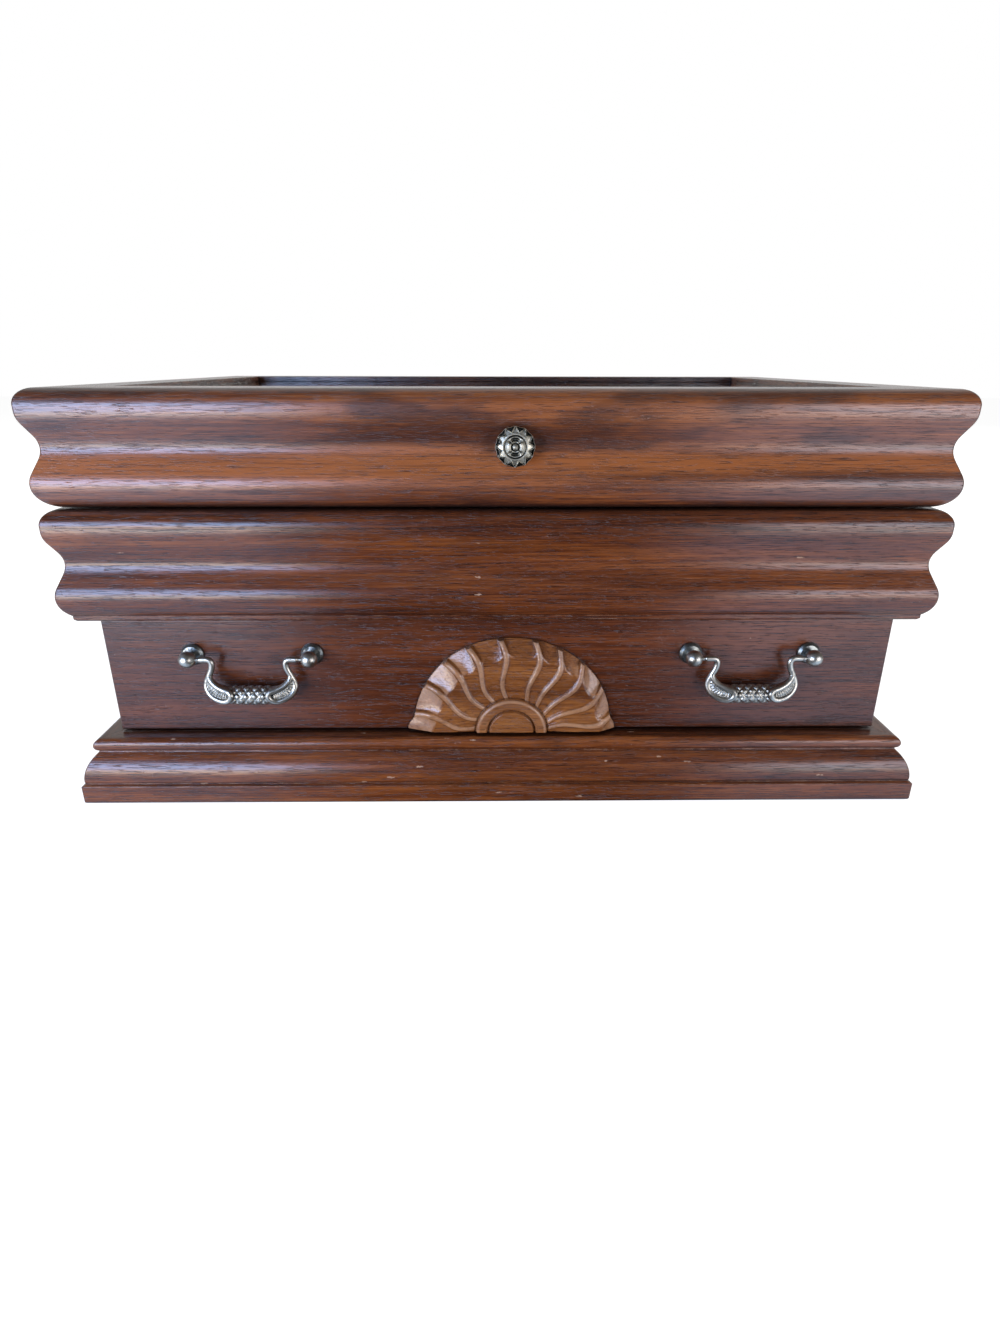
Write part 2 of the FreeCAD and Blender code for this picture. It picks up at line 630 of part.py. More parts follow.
# Lid
def make_lid():
    """Mitred lid frame, glass, stop beads, knob and its screw."""
    ring = moulding_ring("lid_run_", LID_PROFILE, "0", "lip_reach", "overall_height")
    notches = hinge_recesses("lid_back", "lid_foot", "lid_foot + leaf_thickness")
    notches += screw_holes("lid_back", "lid_foot")
    seat = [rod("knob_seat", "knob_neck_radius", "half_depth", "knob_x",
                "knob_seat_y", "knob_height", Y_FRONT),
            rod("knob_hole", "knob_screw_radius", "lid_wall", "knob_x",
                "-half_depth", "knob_height", Y_BACK)]
    node(cut("lid_front", ring["front"], seat), "lid_front")
    node(cut("lid_back", ring["back"], notches), "lid_back")
    node(ring["left"], "lid_left")
    node(ring["right"], "lid_right")
    node(block("lid_glass", ("-glass_x", "glass_x"), ("-glass_y", "glass_y"),
               ("glass_foot", "glass_top")), "lid_glass")
    rise = ("glass_foot - stop_bead", "glass_foot")
    wall_x = "(half_width - lid_wall)"
    wall_y = "(half_depth - lid_wall)"
    across = (f"-{wall_x}", wall_x)
    between = (f"stop_bead - {wall_y}", f"{wall_y} - stop_bead")
    beads = {
        "front": (across, (f"-{wall_y}", f"stop_bead - {wall_y}")),
        "back": (across, (f"{wall_y} - stop_bead", wall_y)),
        "left": ((f"-{wall_x}", f"stop_bead - {wall_x}"), between),
        "right": ((f"{wall_x} - stop_bead", wall_x), between),
    }
    for side, (x, y) in beads.items():
        node(block("glass_bead_" + side, x, y, rise), "glass_bead_" + side)
    knob = turned("lid_knob", "XY_Plane", [
        ("knob_screw_radius", "0"),
        ("knob_neck_radius", "0"),
        ("knob_neck_radius", "-knob_neck"),
        ("knob_back_radius", "-knob_neck"),
        ("knob_radius", "-knob_neck - knob_bevel"),
        ("knob_radius", "-knob_neck - knob_bevel - knob_rim"),
        ("knob_crown_radius", "knob_crown_rise - knob_neck - knob_head"),
        ("0", "-knob_neck - knob_head"),
        ("0", "-knob_bore"),
        ("knob_screw_radius", "-knob_bore"),
    ])
    place(knob, "knob_x", "knob_seat_y", "knob_height")
    node(knob, "lid_knob")
    inner_face = "lid_wall - half_depth"
    shank = rod("knob_screw_shank", "knob_screw_radius", f"{inner_face} - knob_seat_y + knob_bore",
                "knob_x", "knob_seat_y - knob_bore", "knob_height", Y_BACK)
    head = rod("knob_screw_pan", "knob_screw_head", "knob_screw_rise", "knob_x", inner_face,
               "knob_height", Y_BACK)
    node(fuse("knob_screw", [shank, head]), "knob_screw")


# Hinges
def leaf(name, middle, low, high, knuckles, bore, screws):
    """A hinge leaf with its knuckles, bored for the pin and countersunk for its screws."""
    plate = block(name + "_plate", (f"{middle} - hinge_length / 2", f"{middle} + hinge_length / 2"),
                  ("axis_y - leaf_reach", "axis_y - leaf_clear"), (low, high))
    solids = [plate]
    for index in knuckles:
        start = f"{middle} - hinge_length / 2 + {index} * (knuckle_length + running_gap)"
        solids.append(rod(f"{name}_knuckle_{index}", "barrel_radius", "knuckle_length",
                          start, "axis_y", "seam_height", X_AXIS))
        solids.append(block(f"{name}_neck_{index}", (start, f"{start} + knuckle_length"),
                            ("axis_y - leaf_clear", "axis_y"), (low, high)))
    tools = [rod(name + "_bore", bore, "hinge_length", f"{middle} - hinge_length / 2",
                 "axis_y", "seam_height", X_AXIS)]
    return cut(name, fuse(name + "_blank", solids), tools + screws)


def make_hinges():
    """Two butt hinges with their pins and screws."""
    case_low = "case_top - leaf_thickness"
    lid_high = "lid_foot + leaf_thickness"
    for side, sign in (("left", "-"), ("right", "")):
        middle = f"({sign}hinge_x)"
        spots = [(tag, x) for tag, x in screw_places() if tag.startswith(side)]
        case_sinks = [cone(f"case_sink_{tag}", "hinge_screw_radius", "hinge_screw_head",
                           "leaf_thickness", x, "screw_y", case_low) for tag, x in spots]
        lid_sinks = [cone(f"lid_sink_{tag}", "hinge_screw_head", "hinge_screw_radius",
                          "leaf_thickness", x, "screw_y", "lid_foot") for tag, x in spots]
        node(leaf("hinge_case_leaf_" + side, middle, case_low, "case_top", (0, 2),
                  "pin_radius", case_sinks), "hinge_case_leaf_" + side)
        node(leaf("hinge_lid_leaf_" + side, middle, "lid_foot", lid_high, (1,),
                  "pin_radius + pin_play", lid_sinks), "hinge_lid_leaf_" + side)
        node(rod("hinge_pin_" + side, "pin_radius", "hinge_length", f"{middle} - hinge_length / 2",
                 "axis_y", "seam_height", X_AXIS), "hinge_pin_" + side)
    case_screws = []
    lid_screws = []
    for tag, x in screw_places():
        shank = rod(f"case_shank_{tag}", "hinge_screw_radius", "hinge_screw_length - leaf_thickness",
                    x, "screw_y", "case_top - hinge_screw_length")
        head = cone(f"case_head_{tag}", "hinge_screw_radius", "hinge_screw_head",
                    "leaf_thickness", x, "screw_y", case_low)
        case_screws.append(fuse(f"case_screw_{tag}", [shank, head]))
        shank = rod(f"lid_shank_{tag}", "hinge_screw_radius", "hinge_screw_length - leaf_thickness",
                    x, "screw_y", lid_high)
        head = cone(f"lid_head_{tag}", "hinge_screw_head", "hinge_screw_radius",
                    "leaf_thickness", x, "screw_y", "lid_foot")
        lid_screws.append(fuse(f"lid_screw_{tag}", [shank, head]))
    node(group("hinge_case_screws", case_screws), "hinge_case_screws")
    node(group("hinge_lid_screws", lid_screws), "hinge_lid_screws")


# Drawer
def eased_front():
    """The plain drawer front with its outer edges eased."""
    body = doc.addObject("PartDesign::Body", "drawer_front_board")
    corners = [("-case_x", "drawer_foot"), ("case_x", "drawer_foot"),
               ("case_x", "drawer_head"), ("-case_x", "drawer_head")]
    sketch = outline(body, "drawer_front_outline", "XZ_Plane", corners)
    pad = body.newObject("PartDesign::Pad", "drawer_front_pad")
    pad.Profile = sketch
    bind(pad, "Length", "drawer_front_thickness")
    doc.recompute()
    face_y = min(vertex.Point.y for vertex in pad.Shape.Vertexes)
    edges = [f"Edge{index}" for index, edge in enumerate(pad.Shape.Edges, start=1)
             if all(abs(vertex.Point.y - face_y) < 1e-6 for vertex in edge.Vertexes)]
    ease = body.newObject("PartDesign::Fillet", "drawer_front_ease")
    ease.Base = (pad, edges)
    bind(ease, "Radius", "face_round")
    place(body, "0", "drawer_back_face", "0")
    return body


def post_places():
    """Where the four handle posts stand, across the drawer."""
    return [(f"{side}_{end}", f"({sign}handle_x + handle_shift {step} handle_spacing / 2)")
            for side, sign in (("left", "-"), ("right", ""))
            for end, step in (("left", "-"), ("right", "+"))]


def make_drawer():
    """Drawer box with its plain front, velvet and carved fan."""
    bed = block("drawer_panel_bed",
                ("-drawer_in_x - groove_depth - seat_gap", "drawer_in_x + groove_depth + seat_gap"),
                ("drawer_back_face - groove_depth - seat_gap", "box_in_back + groove_depth + seat_gap"),
                ("panel_foot - seat_gap", "panel_top + seat_gap"))
    holes = [rod(f"post_hole_{tag}", "shank_radius", "rail_thickness", x, "-case_y",
                 "handle_height", Y_BACK) for tag, x in post_places()]
    node(cut("drawer_front", eased_front(), [bed] + holes), "drawer_front")
    tall = ("box_foot", "box_top")
    long = ("drawer_back_face", "box_back")
    left = block("drawer_left_board", ("-drawer_x", "-drawer_in_x"), long, tall)
    right = block("drawer_right_board", ("drawer_in_x", "drawer_x"), long, tall)
    back = block("drawer_back_plain", ("-drawer_in_x", "drawer_in_x"), ("box_in_back", "box_back"), tall)
    node(cut("drawer_side_left", left, [bed]), "drawer_side_left")
    node(cut("drawer_side_right", right, [bed]), "drawer_side_right")
    node(cut("drawer_back", back, [bed]), "drawer_back")
    node(block("drawer_bottom", ("-drawer_in_x - groove_depth", "drawer_in_x + groove_depth"),
               ("drawer_back_face - groove_depth", "box_in_back + groove_depth"),
               ("panel_foot", "panel_top")), "drawer_bottom")
    skin = block("drawer_lining_outside", ("-drawer_in_x", "drawer_in_x"),
                 ("drawer_back_face", "box_in_back"),
                 ("panel_top + seat_gap", "drawer_velvet_top"))
    hollow = block("drawer_lining_inside",
                   ("lining_thickness - drawer_in_x", "drawer_in_x - lining_thickness"),
                   ("drawer_back_face + lining_thickness", "box_in_back - lining_thickness"),
                   ("panel_top + lining_thickness", "box_top"))
    node(cut("drawer_lining", skin, [hollow]), "drawer_lining")
    fan = turned("fan_carving", "XY_Plane", [
        ("0", "0"),
        ("fan_radius", "0"),
        ("fan_radius", "-fan_rim"),
        ("fan_radius - fan_slope_run", "-fan_slope_rise"),
        ("fan_radius - fan_swell_run", "-fan_crown"),
        ("fan_hub + fan_valley", "-fan_valley_rise"),
        ("fan_hub", "-fan_crown"),
        ("fan_hub - fan_ring", "-fan_crown"),
        ("fan_boss + fan_trough", "-fan_trough_rise"),
        ("fan_boss_crown", "-fan_crown"),
        ("0", "-fan_crown"),
    ], "180")
    place(fan, "fan_x", "-case_y", "drawer_foot + fan_gap")
    node(fan, "fan_carving")


# Handles
def make_posts():
    """Rosettes, ball posts and nuts of both handles."""
    rosettes = []
    posts = []
    nuts = []
    for tag, x in post_places():
        rosette = turned(f"rosette_{tag}", "XY_Plane", [
            ("post_radius", "0"),
            ("rosette_radius", "0"),
            ("rosette_radius", "-rosette_edge"),
            ("rosette_dome_radius", "rosette_dome_fall - rosette_rise"),
            ("post_radius", "-rosette_rise"),
        ])
        rosettes.append(place(rosette, x, "-case_y", "handle_height"))
        neck = rod(f"post_neck_{tag}", "post_radius", "pivot_reach", x, "-case_y",
                   "handle_height", Y_FRONT)
        shank = rod(f"post_shank_{tag}", "shank_radius", "drawer_front_thickness + shank_tail",
                    x, "-case_y", "handle_height", Y_BACK)
        ball = doc.addObject("Part::Sphere", f"post_ball_{tag}")
        bind(ball, "Radius", "ball_radius")
        place(ball, x, "pivot_y", "handle_height")
        start = f"{x} - ball_radius"
        if tag.endswith("left"):
            start = f"{x} + ball_radius - tenon_depth - seat_gap"
        socket = rod(f"post_socket_{tag}", "tenon_radius + tenon_play",
                     "tenon_depth + seat_gap", start, "pivot_y", "handle_height", X_AXIS)
        posts.append(cut(f"post_{tag}", fuse(f"post_blank_{tag}", [neck, shank, ball]), [socket]))
        nut = doc.addObject("Part::Prism", f"nut_blank_{tag}")
        nut.Polygon = 6
        bind(nut, "Circumradius", "nut_radius")
        bind(nut, "Height", "nut_height")
        place(nut, x, "drawer_back_face", "handle_height", Y_BACK)
        hole = rod(f"nut_hole_{tag}", "shank_radius", "nut_height", x, "drawer_back_face",
                   "handle_height", Y_BACK)
        nuts.append(cut(f"nut_{tag}", nut, [hole]))
    node(group("handle_rosettes", rosettes), "handle_rosettes")
    node(group("handle_posts", posts), "handle_posts")
    node(group("handle_nuts", nuts), "handle_nuts")


def rounded_wire(points, radii):
    """Straight runs joined by arcs tangent to them."""
    edges = []
    last = points[0]
    for before, corner, after, radius in zip(points, points[1:], points[2:], radii):
        back = (before - corner).normalize()
        on = (after - corner).normalize()
        half = back.getAngle(on) / 2
        trim = radius / math.tan(half)
        start = corner + back * trim
        end = corner + on * trim
        middle = corner + (back + on).normalize() * (radius / math.sin(half) - radius)
        edges.append(Part.LineSegment(last, start).toShape())
        edges.append(Part.Arc(start, middle, end).toShape())
        last = end
    edges.append(Part.LineSegment(last, points[-1]).toShape())
    return Part.Wire(edges)


def mirrored(point):
    """The same point on the left side of a bail."""
    return Vector(-point.x, point.y, point.z)


def make_bail(name, middle):
    """A swan-necked bail with a thick grip, hanging from its two tenons."""
    rod_radius = number_of("rod_radius")
    arm = [Vector(number_of(x), 0, -number_of(drop)) for x, drop in (
        ("shoulder", "0"), ("elbow_x", "0"), ("waist_x", "waist_drop"),
        ("hip_x", "hip_drop"), ("heel_x", "grip_drop"))]
    points = [mirrored(point) for point in arm] + arm[::-1]
    bends = [number_of(bend) for bend in ("elbow_bend", "arm_bend", "arm_bend", "arm_bend")]
    path = rounded_wire(points, bends + bends[::-1])
    ring = Part.Wire([Part.makeCircle(rod_radius, points[0], Vector(1, 0, 0))])
    arms = path.makePipeShell([ring], True, False)
    slope = [Vector(number_of(x), 0, number_of(radius)) for x, radius in (
        ("swell_x", "swell_radius"), ("tongue_x", "tongue_radius"),
        ("grip_half", "grip_tip_radius"), ("grip_half", "0"))]
    edge = [mirrored(point) for point in slope[::-1]] + [Vector(0, 0, number_of("grip_radius"))] + slope
    section = Part.Face(Part.makePolygon(edge + [edge[0]]))
    grip = section.revolve(Vector(0, 0, 0), Vector(1, 0, 0), 360)
    grip.translate(Vector(0, 0, -number_of("grip_drop")))
    tenon_radius = number_of("tenon_radius")
    length = number_of("tenon_tip - shoulder")
    tenons = [Part.makeCylinder(tenon_radius, length, arm[0], Vector(1, 0, 0)),
              Part.makeCylinder(tenon_radius, length, points[0], Vector(-1, 0, 0))]
    bail = doc.addObject("Part::Feature", name)
    bail.Shape = arms.fuse([grip] + tenons).removeSplitter()
    place(bail, middle, "pivot_y", "handle_height")
    return node(bail, name)


make_plinth()
make_case()
make_compartment()
make_lid()
make_hinges()
make_drawer()
make_posts()
make_bail("bail_left", "handle_shift - handle_x")
make_bail("bail_right", "handle_shift + handle_x")
doc.recompute()

for item in doc.Objects:
    if "Invalid" in item.State or "Error" in item.State:
        raise RuntimeError(f"{item.Label} failed: {item.State}")
os.makedirs("parts", exist_ok=True)
for item in NODES:
    shape = item.Shape
    if shape.isNull() or not shape.isValid() or not shape.Solids:
        raise RuntimeError(f"{item.Label} is not a valid solid")
for item in NODES:
    item.Shape.exportStep(f"parts/{item.Label}.step")
print(len(NODES), "sub-parts")
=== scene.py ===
"""Looks of a wooden jewelry box: carved fan, cast pulls and knob, velvet lining, woods and glass.

Everything is in metres in the frame's own axes: +Z up, the drawer faces -Y. The carving and the castings are
drawn in millimetres and scaled where their points are placed.
"""

import functools
import json
import logging
import math
from collections.abc import Callable, Sequence
from dataclasses import dataclass
from enum import Enum

import bmesh
import bpy
from mathutils import Euler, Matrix, Vector, kdtree, noise


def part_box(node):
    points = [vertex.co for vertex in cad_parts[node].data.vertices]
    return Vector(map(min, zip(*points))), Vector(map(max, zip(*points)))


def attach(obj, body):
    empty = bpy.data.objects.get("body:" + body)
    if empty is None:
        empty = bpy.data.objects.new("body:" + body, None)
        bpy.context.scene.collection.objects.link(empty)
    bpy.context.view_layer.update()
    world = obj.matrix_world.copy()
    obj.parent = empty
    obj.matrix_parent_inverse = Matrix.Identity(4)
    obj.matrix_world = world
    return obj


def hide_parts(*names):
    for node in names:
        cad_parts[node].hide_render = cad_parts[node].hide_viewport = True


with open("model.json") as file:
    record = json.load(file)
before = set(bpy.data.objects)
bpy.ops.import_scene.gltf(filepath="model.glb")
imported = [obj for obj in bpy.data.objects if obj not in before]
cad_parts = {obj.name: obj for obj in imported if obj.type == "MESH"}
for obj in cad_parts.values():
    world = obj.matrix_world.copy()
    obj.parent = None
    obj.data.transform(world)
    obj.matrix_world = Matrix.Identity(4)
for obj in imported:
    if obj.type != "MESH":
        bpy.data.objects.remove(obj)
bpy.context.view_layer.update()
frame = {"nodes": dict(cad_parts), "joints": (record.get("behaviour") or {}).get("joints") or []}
LOG = logging.getLogger("jewelry_box")
MM = 0.001

Colour = tuple[float, float, float]
Corner = tuple[float, float, float]
Faces = list[tuple[int, ...]]
Shell = tuple[list[Vector], Faces]
Socket = bpy.types.NodeSocket


def mix(low: float, high: float, share: float) -> float:
    """Value between low and high at the given share."""
    return low + (high - low) * share


def smooth(low: float, high: float, value: float) -> float:
    """Smooth step from 0 at low to 1 at high."""
    share = min(max((value - low) / (high - low), 0.0), 1.0)
    return share * share * (3.0 - 2.0 * share)


def bump(middle: float, width: float, value: float) -> float:
    """Round hump of height 1 about middle, zero beyond width on both sides."""
    share = abs(value - middle) / width
    return 0.5 + 0.5 * math.cos(math.pi * share) if share < 1.0 else 0.0


# Meshes
def add_to_scene(name: str, data: bpy.types.ID) -> bpy.types.Object:
    """Make an object and link it to the scene.

    Args:
        name: The object's name.
        data: Its mesh, lamp or camera.

    Returns:
        The new object.
    """
    thing = bpy.data.objects.new(name, data)
    bpy.context.scene.collection.objects.link(thing)
    return thing


def make_piece(name: str, points: Sequence[Vector], faces: Sequence[Sequence[int]],
               crease: float = 40.0) -> bpy.types.Object:
    """Make a smooth-shaded mesh object from points and faces.

    Args:
        name: The piece's name.
        points: Its corners in the row frame.
        faces: Corner numbers of each face.
        crease: Angle in degrees above which an edge stays sharp.

    Returns:
        The new object, linked to the scene.
    """
    mesh = bpy.data.meshes.new(name)
    mesh.from_pydata([tuple(point) for point in points], [], [tuple(face) for face in faces])
    shape = bmesh.new()
    shape.from_mesh(mesh)
    bmesh.ops.remove_doubles(shape, verts=shape.verts, dist=1e-6)
    bmesh.ops.recalc_face_normals(shape, faces=shape.faces)
    for face in shape.faces:
        face.smooth = True
    for edge in shape.edges:
        if len(edge.link_faces) == 2 and edge.calc_face_angle(0.0) > math.radians(crease):
            edge.smooth = False
    shape.to_mesh(mesh)
    shape.free()
    return add_to_scene(name, mesh)


def grid_faces(rows: int, columns: int, closed: bool = False) -> Faces:
    """Quads of a grid of points laid out row by row.

    Args:
        rows: Number of rows.
        columns: Points in a row.
        closed: Whether each row joins up with itself.

    Returns:
        Corner numbers of every quad.
    """
    faces = []
    for row in range(rows - 1):
        for column in range(columns if closed else columns - 1):
            after = (column + 1) % columns
            faces.append((row * columns + column, row * columns + after,
                          (row + 1) * columns + after, (row + 1) * columns + column))
    return faces


def smooth_path(corners: Sequence[Corner], steps: int) -> list[Corner]:
    """Smooth open line through corners, as a Catmull-Rom curve.

    Args:
        corners: Points that the line passes through.
        steps: Points made for each stretch between two corners.

    Returns:
        The points of the line.
    """
    line = []
    last = len(corners) - 1
    for index in range(last):
        before = corners[max(index - 1, 0)]
        start = corners[index]
        end = corners[index + 1]
        after = corners[min(index + 2, last)]
        for step in range(steps):
            t = step / steps
            line.append(tuple(
                0.5 * (2 * s + (e - b) * t + (2 * b - 5 * s + 4 * e - a) * t * t
                       + (3 * s - 3 * e + a - b) * t * t * t)
                for b, s, e, a in zip(before, start, end, after)))
    line.append(corners[last])
    return line


def ease_steps(half: float, edge: float, cell: float, rounding: int = 4) -> list[float]:
    """Places across a side, closer together over its rounded edges.

    Args:
        half: Half the side's length.
        edge: Radius of its edges.
        cell: Distance between places on the flat stretch.
        rounding: Places on each rounded edge.

    Returns:
        The places from -half to half.
    """
    inner = half - edge
    count = max(round(2 * inner / cell), 1)
    flat = [mix(-inner, inner, step / count) for step in range(count + 1)]
    rim = [inner + edge * math.tan(math.radians(45.0 * step / rounding)) for step in range(1, rounding + 1)]
    return [-place for place in reversed(rim)] + flat + rim


def soft_block(name: str, low: Corner, high: Corner, edge: float, cell: float,
               shape: Callable[[Vector, Vector], Vector]) -> bpy.types.Object:
    """Closed block with rounded edges, reshaped point by point.

    Args:
        name: The piece's name.
        low: Lowest corner.
        high: Highest corner.
        edge: Radius of its edges.
        cell: Distance between points on the flat sides.
        shape: Takes a point and its place in the block from -1 to 1, and returns the point moved.

    Returns:
        The new object.
    """
    low_corner = Vector(low)
    high_corner = Vector(high)
    middle = (low_corner + high_corner) / 2
    half = (high_corner - low_corner) / 2
    points = []
    faces = []
    for axis in range(3):
        u_axis, v_axis = (axis + 1) % 3, (axis + 2) % 3
        u_steps = ease_steps(half[u_axis], edge, cell)
        v_steps = ease_steps(half[v_axis], edge, cell)
        for side in (-1, 1):
            start = len(points)
            for v in v_steps:
                for u in u_steps:
                    place = Vector((0, 0, 0))
                    place[axis] = side * half[axis]
                    place[u_axis] = u
                    place[v_axis] = v
                    core = Vector([max(min(place[i], half[i] - edge), edge - half[i]) for i in range(3)])
                    out = place - core
                    rounded = core + out.normalized() * edge if out.length > 0 else place
                    share = Vector([place[i] / half[i] for i in range(3)])
                    points.append(shape(middle + rounded, share))
            faces += [tuple(start + corner for corner in face)
                      for face in grid_faces(len(v_steps), len(u_steps))]
    return make_piece(name, points, faces, 60.0)


def tube(line: Sequence[Vector], reach: Callable[[float, float], float], around: int) -> Shell:
    """Closed tube along a line.

    Args:
        line: Its middle line.
        reach: Radius at a run along the line and an angle round it, 0 at the front and positive upwards.
        around: Points in each ring.

    Returns:
        Its points and its faces.
    """
    points = []
    run = 0.0
    for index, place in enumerate(line):
        before = line[max(index - 1, 0)]
        after = line[min(index + 1, len(line) - 1)]
        run += (place - before).length
        along = (after - before).normalized()
        front = Vector((0, -1, 0))
        front = (front - along * front.dot(along)).normalized()
        up = front.cross(along)
        for step in range(around):
            angle = 2 * math.pi * step / around
            angle -= 2 * math.pi * (angle > math.pi)
            points.append(place + (front * math.cos(angle) + up * math.sin(angle)) * reach(run, angle))
    faces = grid_faces(len(line), around, True)
    faces += [tuple(range(around)), tuple(range(len(points) - around, len(points)))]
    return points, faces


def cast(name: str, shells: Sequence[Shell], cell: float, place: Vector) -> bpy.types.Object:
    """One closed mesh round shells that run into each other.

    Args:
        name: The piece's name.
        shells: Points in millimetres and faces of each shell.
        cell: Size of the new mesh's faces in millimetres.
        place: Where the shells' origin goes.

    Returns:
        The new object.
    """
    points: list[Vector] = []
    faces: Faces = []
    for shell_points, shell_faces in shells:
        faces += [tuple(len(points) + corner for corner in face) for face in shell_faces]
        points += shell_points
    mould = make_piece(name + "_mould", points, faces)
    melt = mould.modifiers.new("melt", "REMESH")
    melt.mode = "VOXEL"
    melt.voxel_size = cell
    melted = mould.evaluated_get(bpy.context.evaluated_depsgraph_get())
    mesh = bpy.data.meshes.new_from_object(melted)
    bpy.data.objects.remove(mould)
    shape = bmesh.new()
    shape.from_mesh(mesh)
    for _ in range(2):
        bmesh.ops.smooth_vert(shape, verts=shape.verts, factor=0.4, use_axis_x=True, use_axis_y=True,
                              use_axis_z=True)
    for vert in shape.verts:
        vert.co = place + vert.co * MM
    for face in shape.faces:
        face.smooth = True
    shape.to_mesh(mesh)
    shape.free()
    mesh.name = name
    return add_to_scene(name, mesh)


# Materials
def rgba(colour: Colour) -> tuple[float, float, float, float]:
    """The colour with full opacity."""
    return (*colour, 1.0)


def shaded(colour: Colour, factor: float, base: float = 0.0) -> Colour:
    """The colour times a factor, plus a base."""
    return tuple(part * factor + base for part in colour)


class NodeSheet:
    """Node tree of a material or of the world, with short ways to add and join nodes."""

    def __init__(self, tree: bpy.types.NodeTree) -> None:
        """Work on the given tree."""
        self.tree = tree

    def add(self, kind: str, settings: dict | None = None, **sockets: object) -> bpy.types.Node:
        """Add a node.

        Args:
            kind: Node type without its ShaderNode prefix.
            settings: Properties of the node itself.
            sockets: Values or sockets for its inputs, with _ for a space.

        Returns:
            The new node.
        """
        node = self.tree.nodes.new("ShaderNode" + kind)
        for key, value in (settings or {}).items():
            setattr(node, key, value)
        for key, value in sockets.items():
            self.put(node, key.replace("_", " "), value)
        return node

    def put(self, node: bpy.types.Node, socket: str | int, value: object) -> None:
        """Set one input of a node, or join it to another node's output.

        Args:
            node: The node.
            socket: Name or number of its input.
            value: The value, or the output to join.
        """
        if isinstance(value, Socket):
            self.tree.links.new(value, node.inputs[socket])
        else:
            node.inputs[socket].default_value = value

    def math(self, operation: str, first: object, second: object = 0.5, clamp: bool = False) -> Socket:
        """Work out a value from one or two others.

        Args:
            operation: The Math node's operation.
            first: First value or output.
            second: Second one, if the operation takes two.
            clamp: Whether the result is kept from 0 to 1.

        Returns:
            The node's output.
        """
        node = self.add("Math", {"operation": operation, "use_clamp": clamp})
        self.put(node, 0, first)
        self.put(node, 1, second)
        return node.outputs[0]

    def times(self, first: object, second: object) -> Socket:
        """Product of two values."""
        return self.math("MULTIPLY", first, second)

    def plus(self, first: object, second: object, clamp: bool = False) -> Socket:
        """Sum of two values."""
        return self.math("ADD", first, second, clamp)

    def minus(self, first: object, second: object, clamp: bool = False) -> Socket:
        """Difference of two values."""
        return self.math("SUBTRACT", first, second, clamp)

    def larger(self, first: object, second: object) -> Socket:
        """Larger one of two values."""
        return self.math("MAXIMUM", first, second)

    def ramp(self, value: Socket, low: float, high: float, start: float = 0.0, end: float = 1.0) -> Socket:
        """Smooth step of a value.

        Args:
            value: The value.
            low: Where the step begins.
            high: Where it ends.
            start: What comes out at and before low.
            end: What comes out at and after high.

        Returns:
            The stepped value.
        """
        node = self.add("MapRange", {"interpolation_type": "SMOOTHSTEP"}, Value=value, From_Min=low,
                        From_Max=high, To_Min=start, To_Max=end)
        return node.outputs[0]

    def blend(self, share: object, first: object, second: object) -> Socket:
        """Colour between two colours.

        Args:
            share: 0 for the first and 1 for the second.
            first: First colour.
            second: Second colour.

        Returns:
            The blended colour.
        """
        node = self.add("Mix", {"data_type": "RGBA"})
        self.put(node, 0, share)
        self.put(node, 6, first)
        self.put(node, 7, second)
        return node.outputs[2]


class Sheet(NodeSheet):
    """Node tree of one material with a Principled shader."""

    def __init__(self, name: str) -> None:
        """Start an empty material.

        Args:
            name: The material's name.
        """
        self.material = bpy.data.materials.new(name)
        self.material.use_nodes = True
        super().__init__(self.material.node_tree)
        self.shader = self.tree.nodes["Principled BSDF"]

    def noise(self, where: Socket, detail: float = 3.0, roughness: float = 0.5) -> Socket:
        """Noise with one feature to a unit of the place given.

        Args:
            where: The place.
            detail: How many finer layers it has.
            roughness: How strong the finer layers are.

        Returns:
            The noise's value.
        """
        node = self.add("TexNoise", None, Vector=where, Scale=1.0, Detail=detail, Roughness=roughness)
        return node.outputs[0]

    def object_space(self, scale: Corner = (1, 1, 1), shift: Corner = (0, 0, 0)) -> Socket:
        """Place on the object.

        Args:
            scale: Units in a metre along each axis.
            shift: How far the place is moved, in those units.

        Returns:
            The place.
        """
        where = self.add("TexCoord").outputs["Object"]
        mapping = self.add("Mapping", {"vector_type": "POINT"}, Vector=where, Location=shift, Scale=scale)
        return mapping.outputs[0]

    def crevices(self, reach: float, low: float, high: float, alone: bool = True) -> Socket:
        """How open a place is to its surroundings.

        Args:
            reach: Distance up to which a surface hides the place.
            low: Openness that counts as 0.
            high: Openness that counts as 1.
            alone: Whether only the piece itself can hide it.

        Returns:
            1 in the open and 0 deep in a crevice.
        """
        hidden = self.add("AmbientOcclusion", {"samples": 6, "only_local": alone}, Distance=reach)
        return self.ramp(hidden.outputs["AO"], low, high)

    def relief(self, height: Socket, depth: float, strength: float, under: Socket | None = None) -> Socket:
        """Normal of a surface in low relief.

        Args:
            height: Height from 0 to 1.
            depth: What a height of 1 stands for.
            strength: How much of it shows.
            under: Normal that it is laid over, if not the plain one.

        Returns:
            The normal.
        """
        node = self.add("Bump", None, Height=height, Distance=depth, Strength=strength)
        if under is not None:
            self.put(node, "Normal", under)
        return node.outputs[0]

    def finish(self, **sockets: object) -> bpy.types.Material:
        """Set the shader and end the material.

        Args:
            sockets: Values or sockets for the shader's inputs, with _ for a space.

        Returns:
            The material.
        """
        for key, value in sockets.items():
            self.put(self.shader, key.replace("_", " "), value)
        return self.material


class Grain(Enum):
    """Axis that the wood's grain runs along."""

    ALONG_X = 0
    ALONG_Y = 1
    ALONG_Z = 2


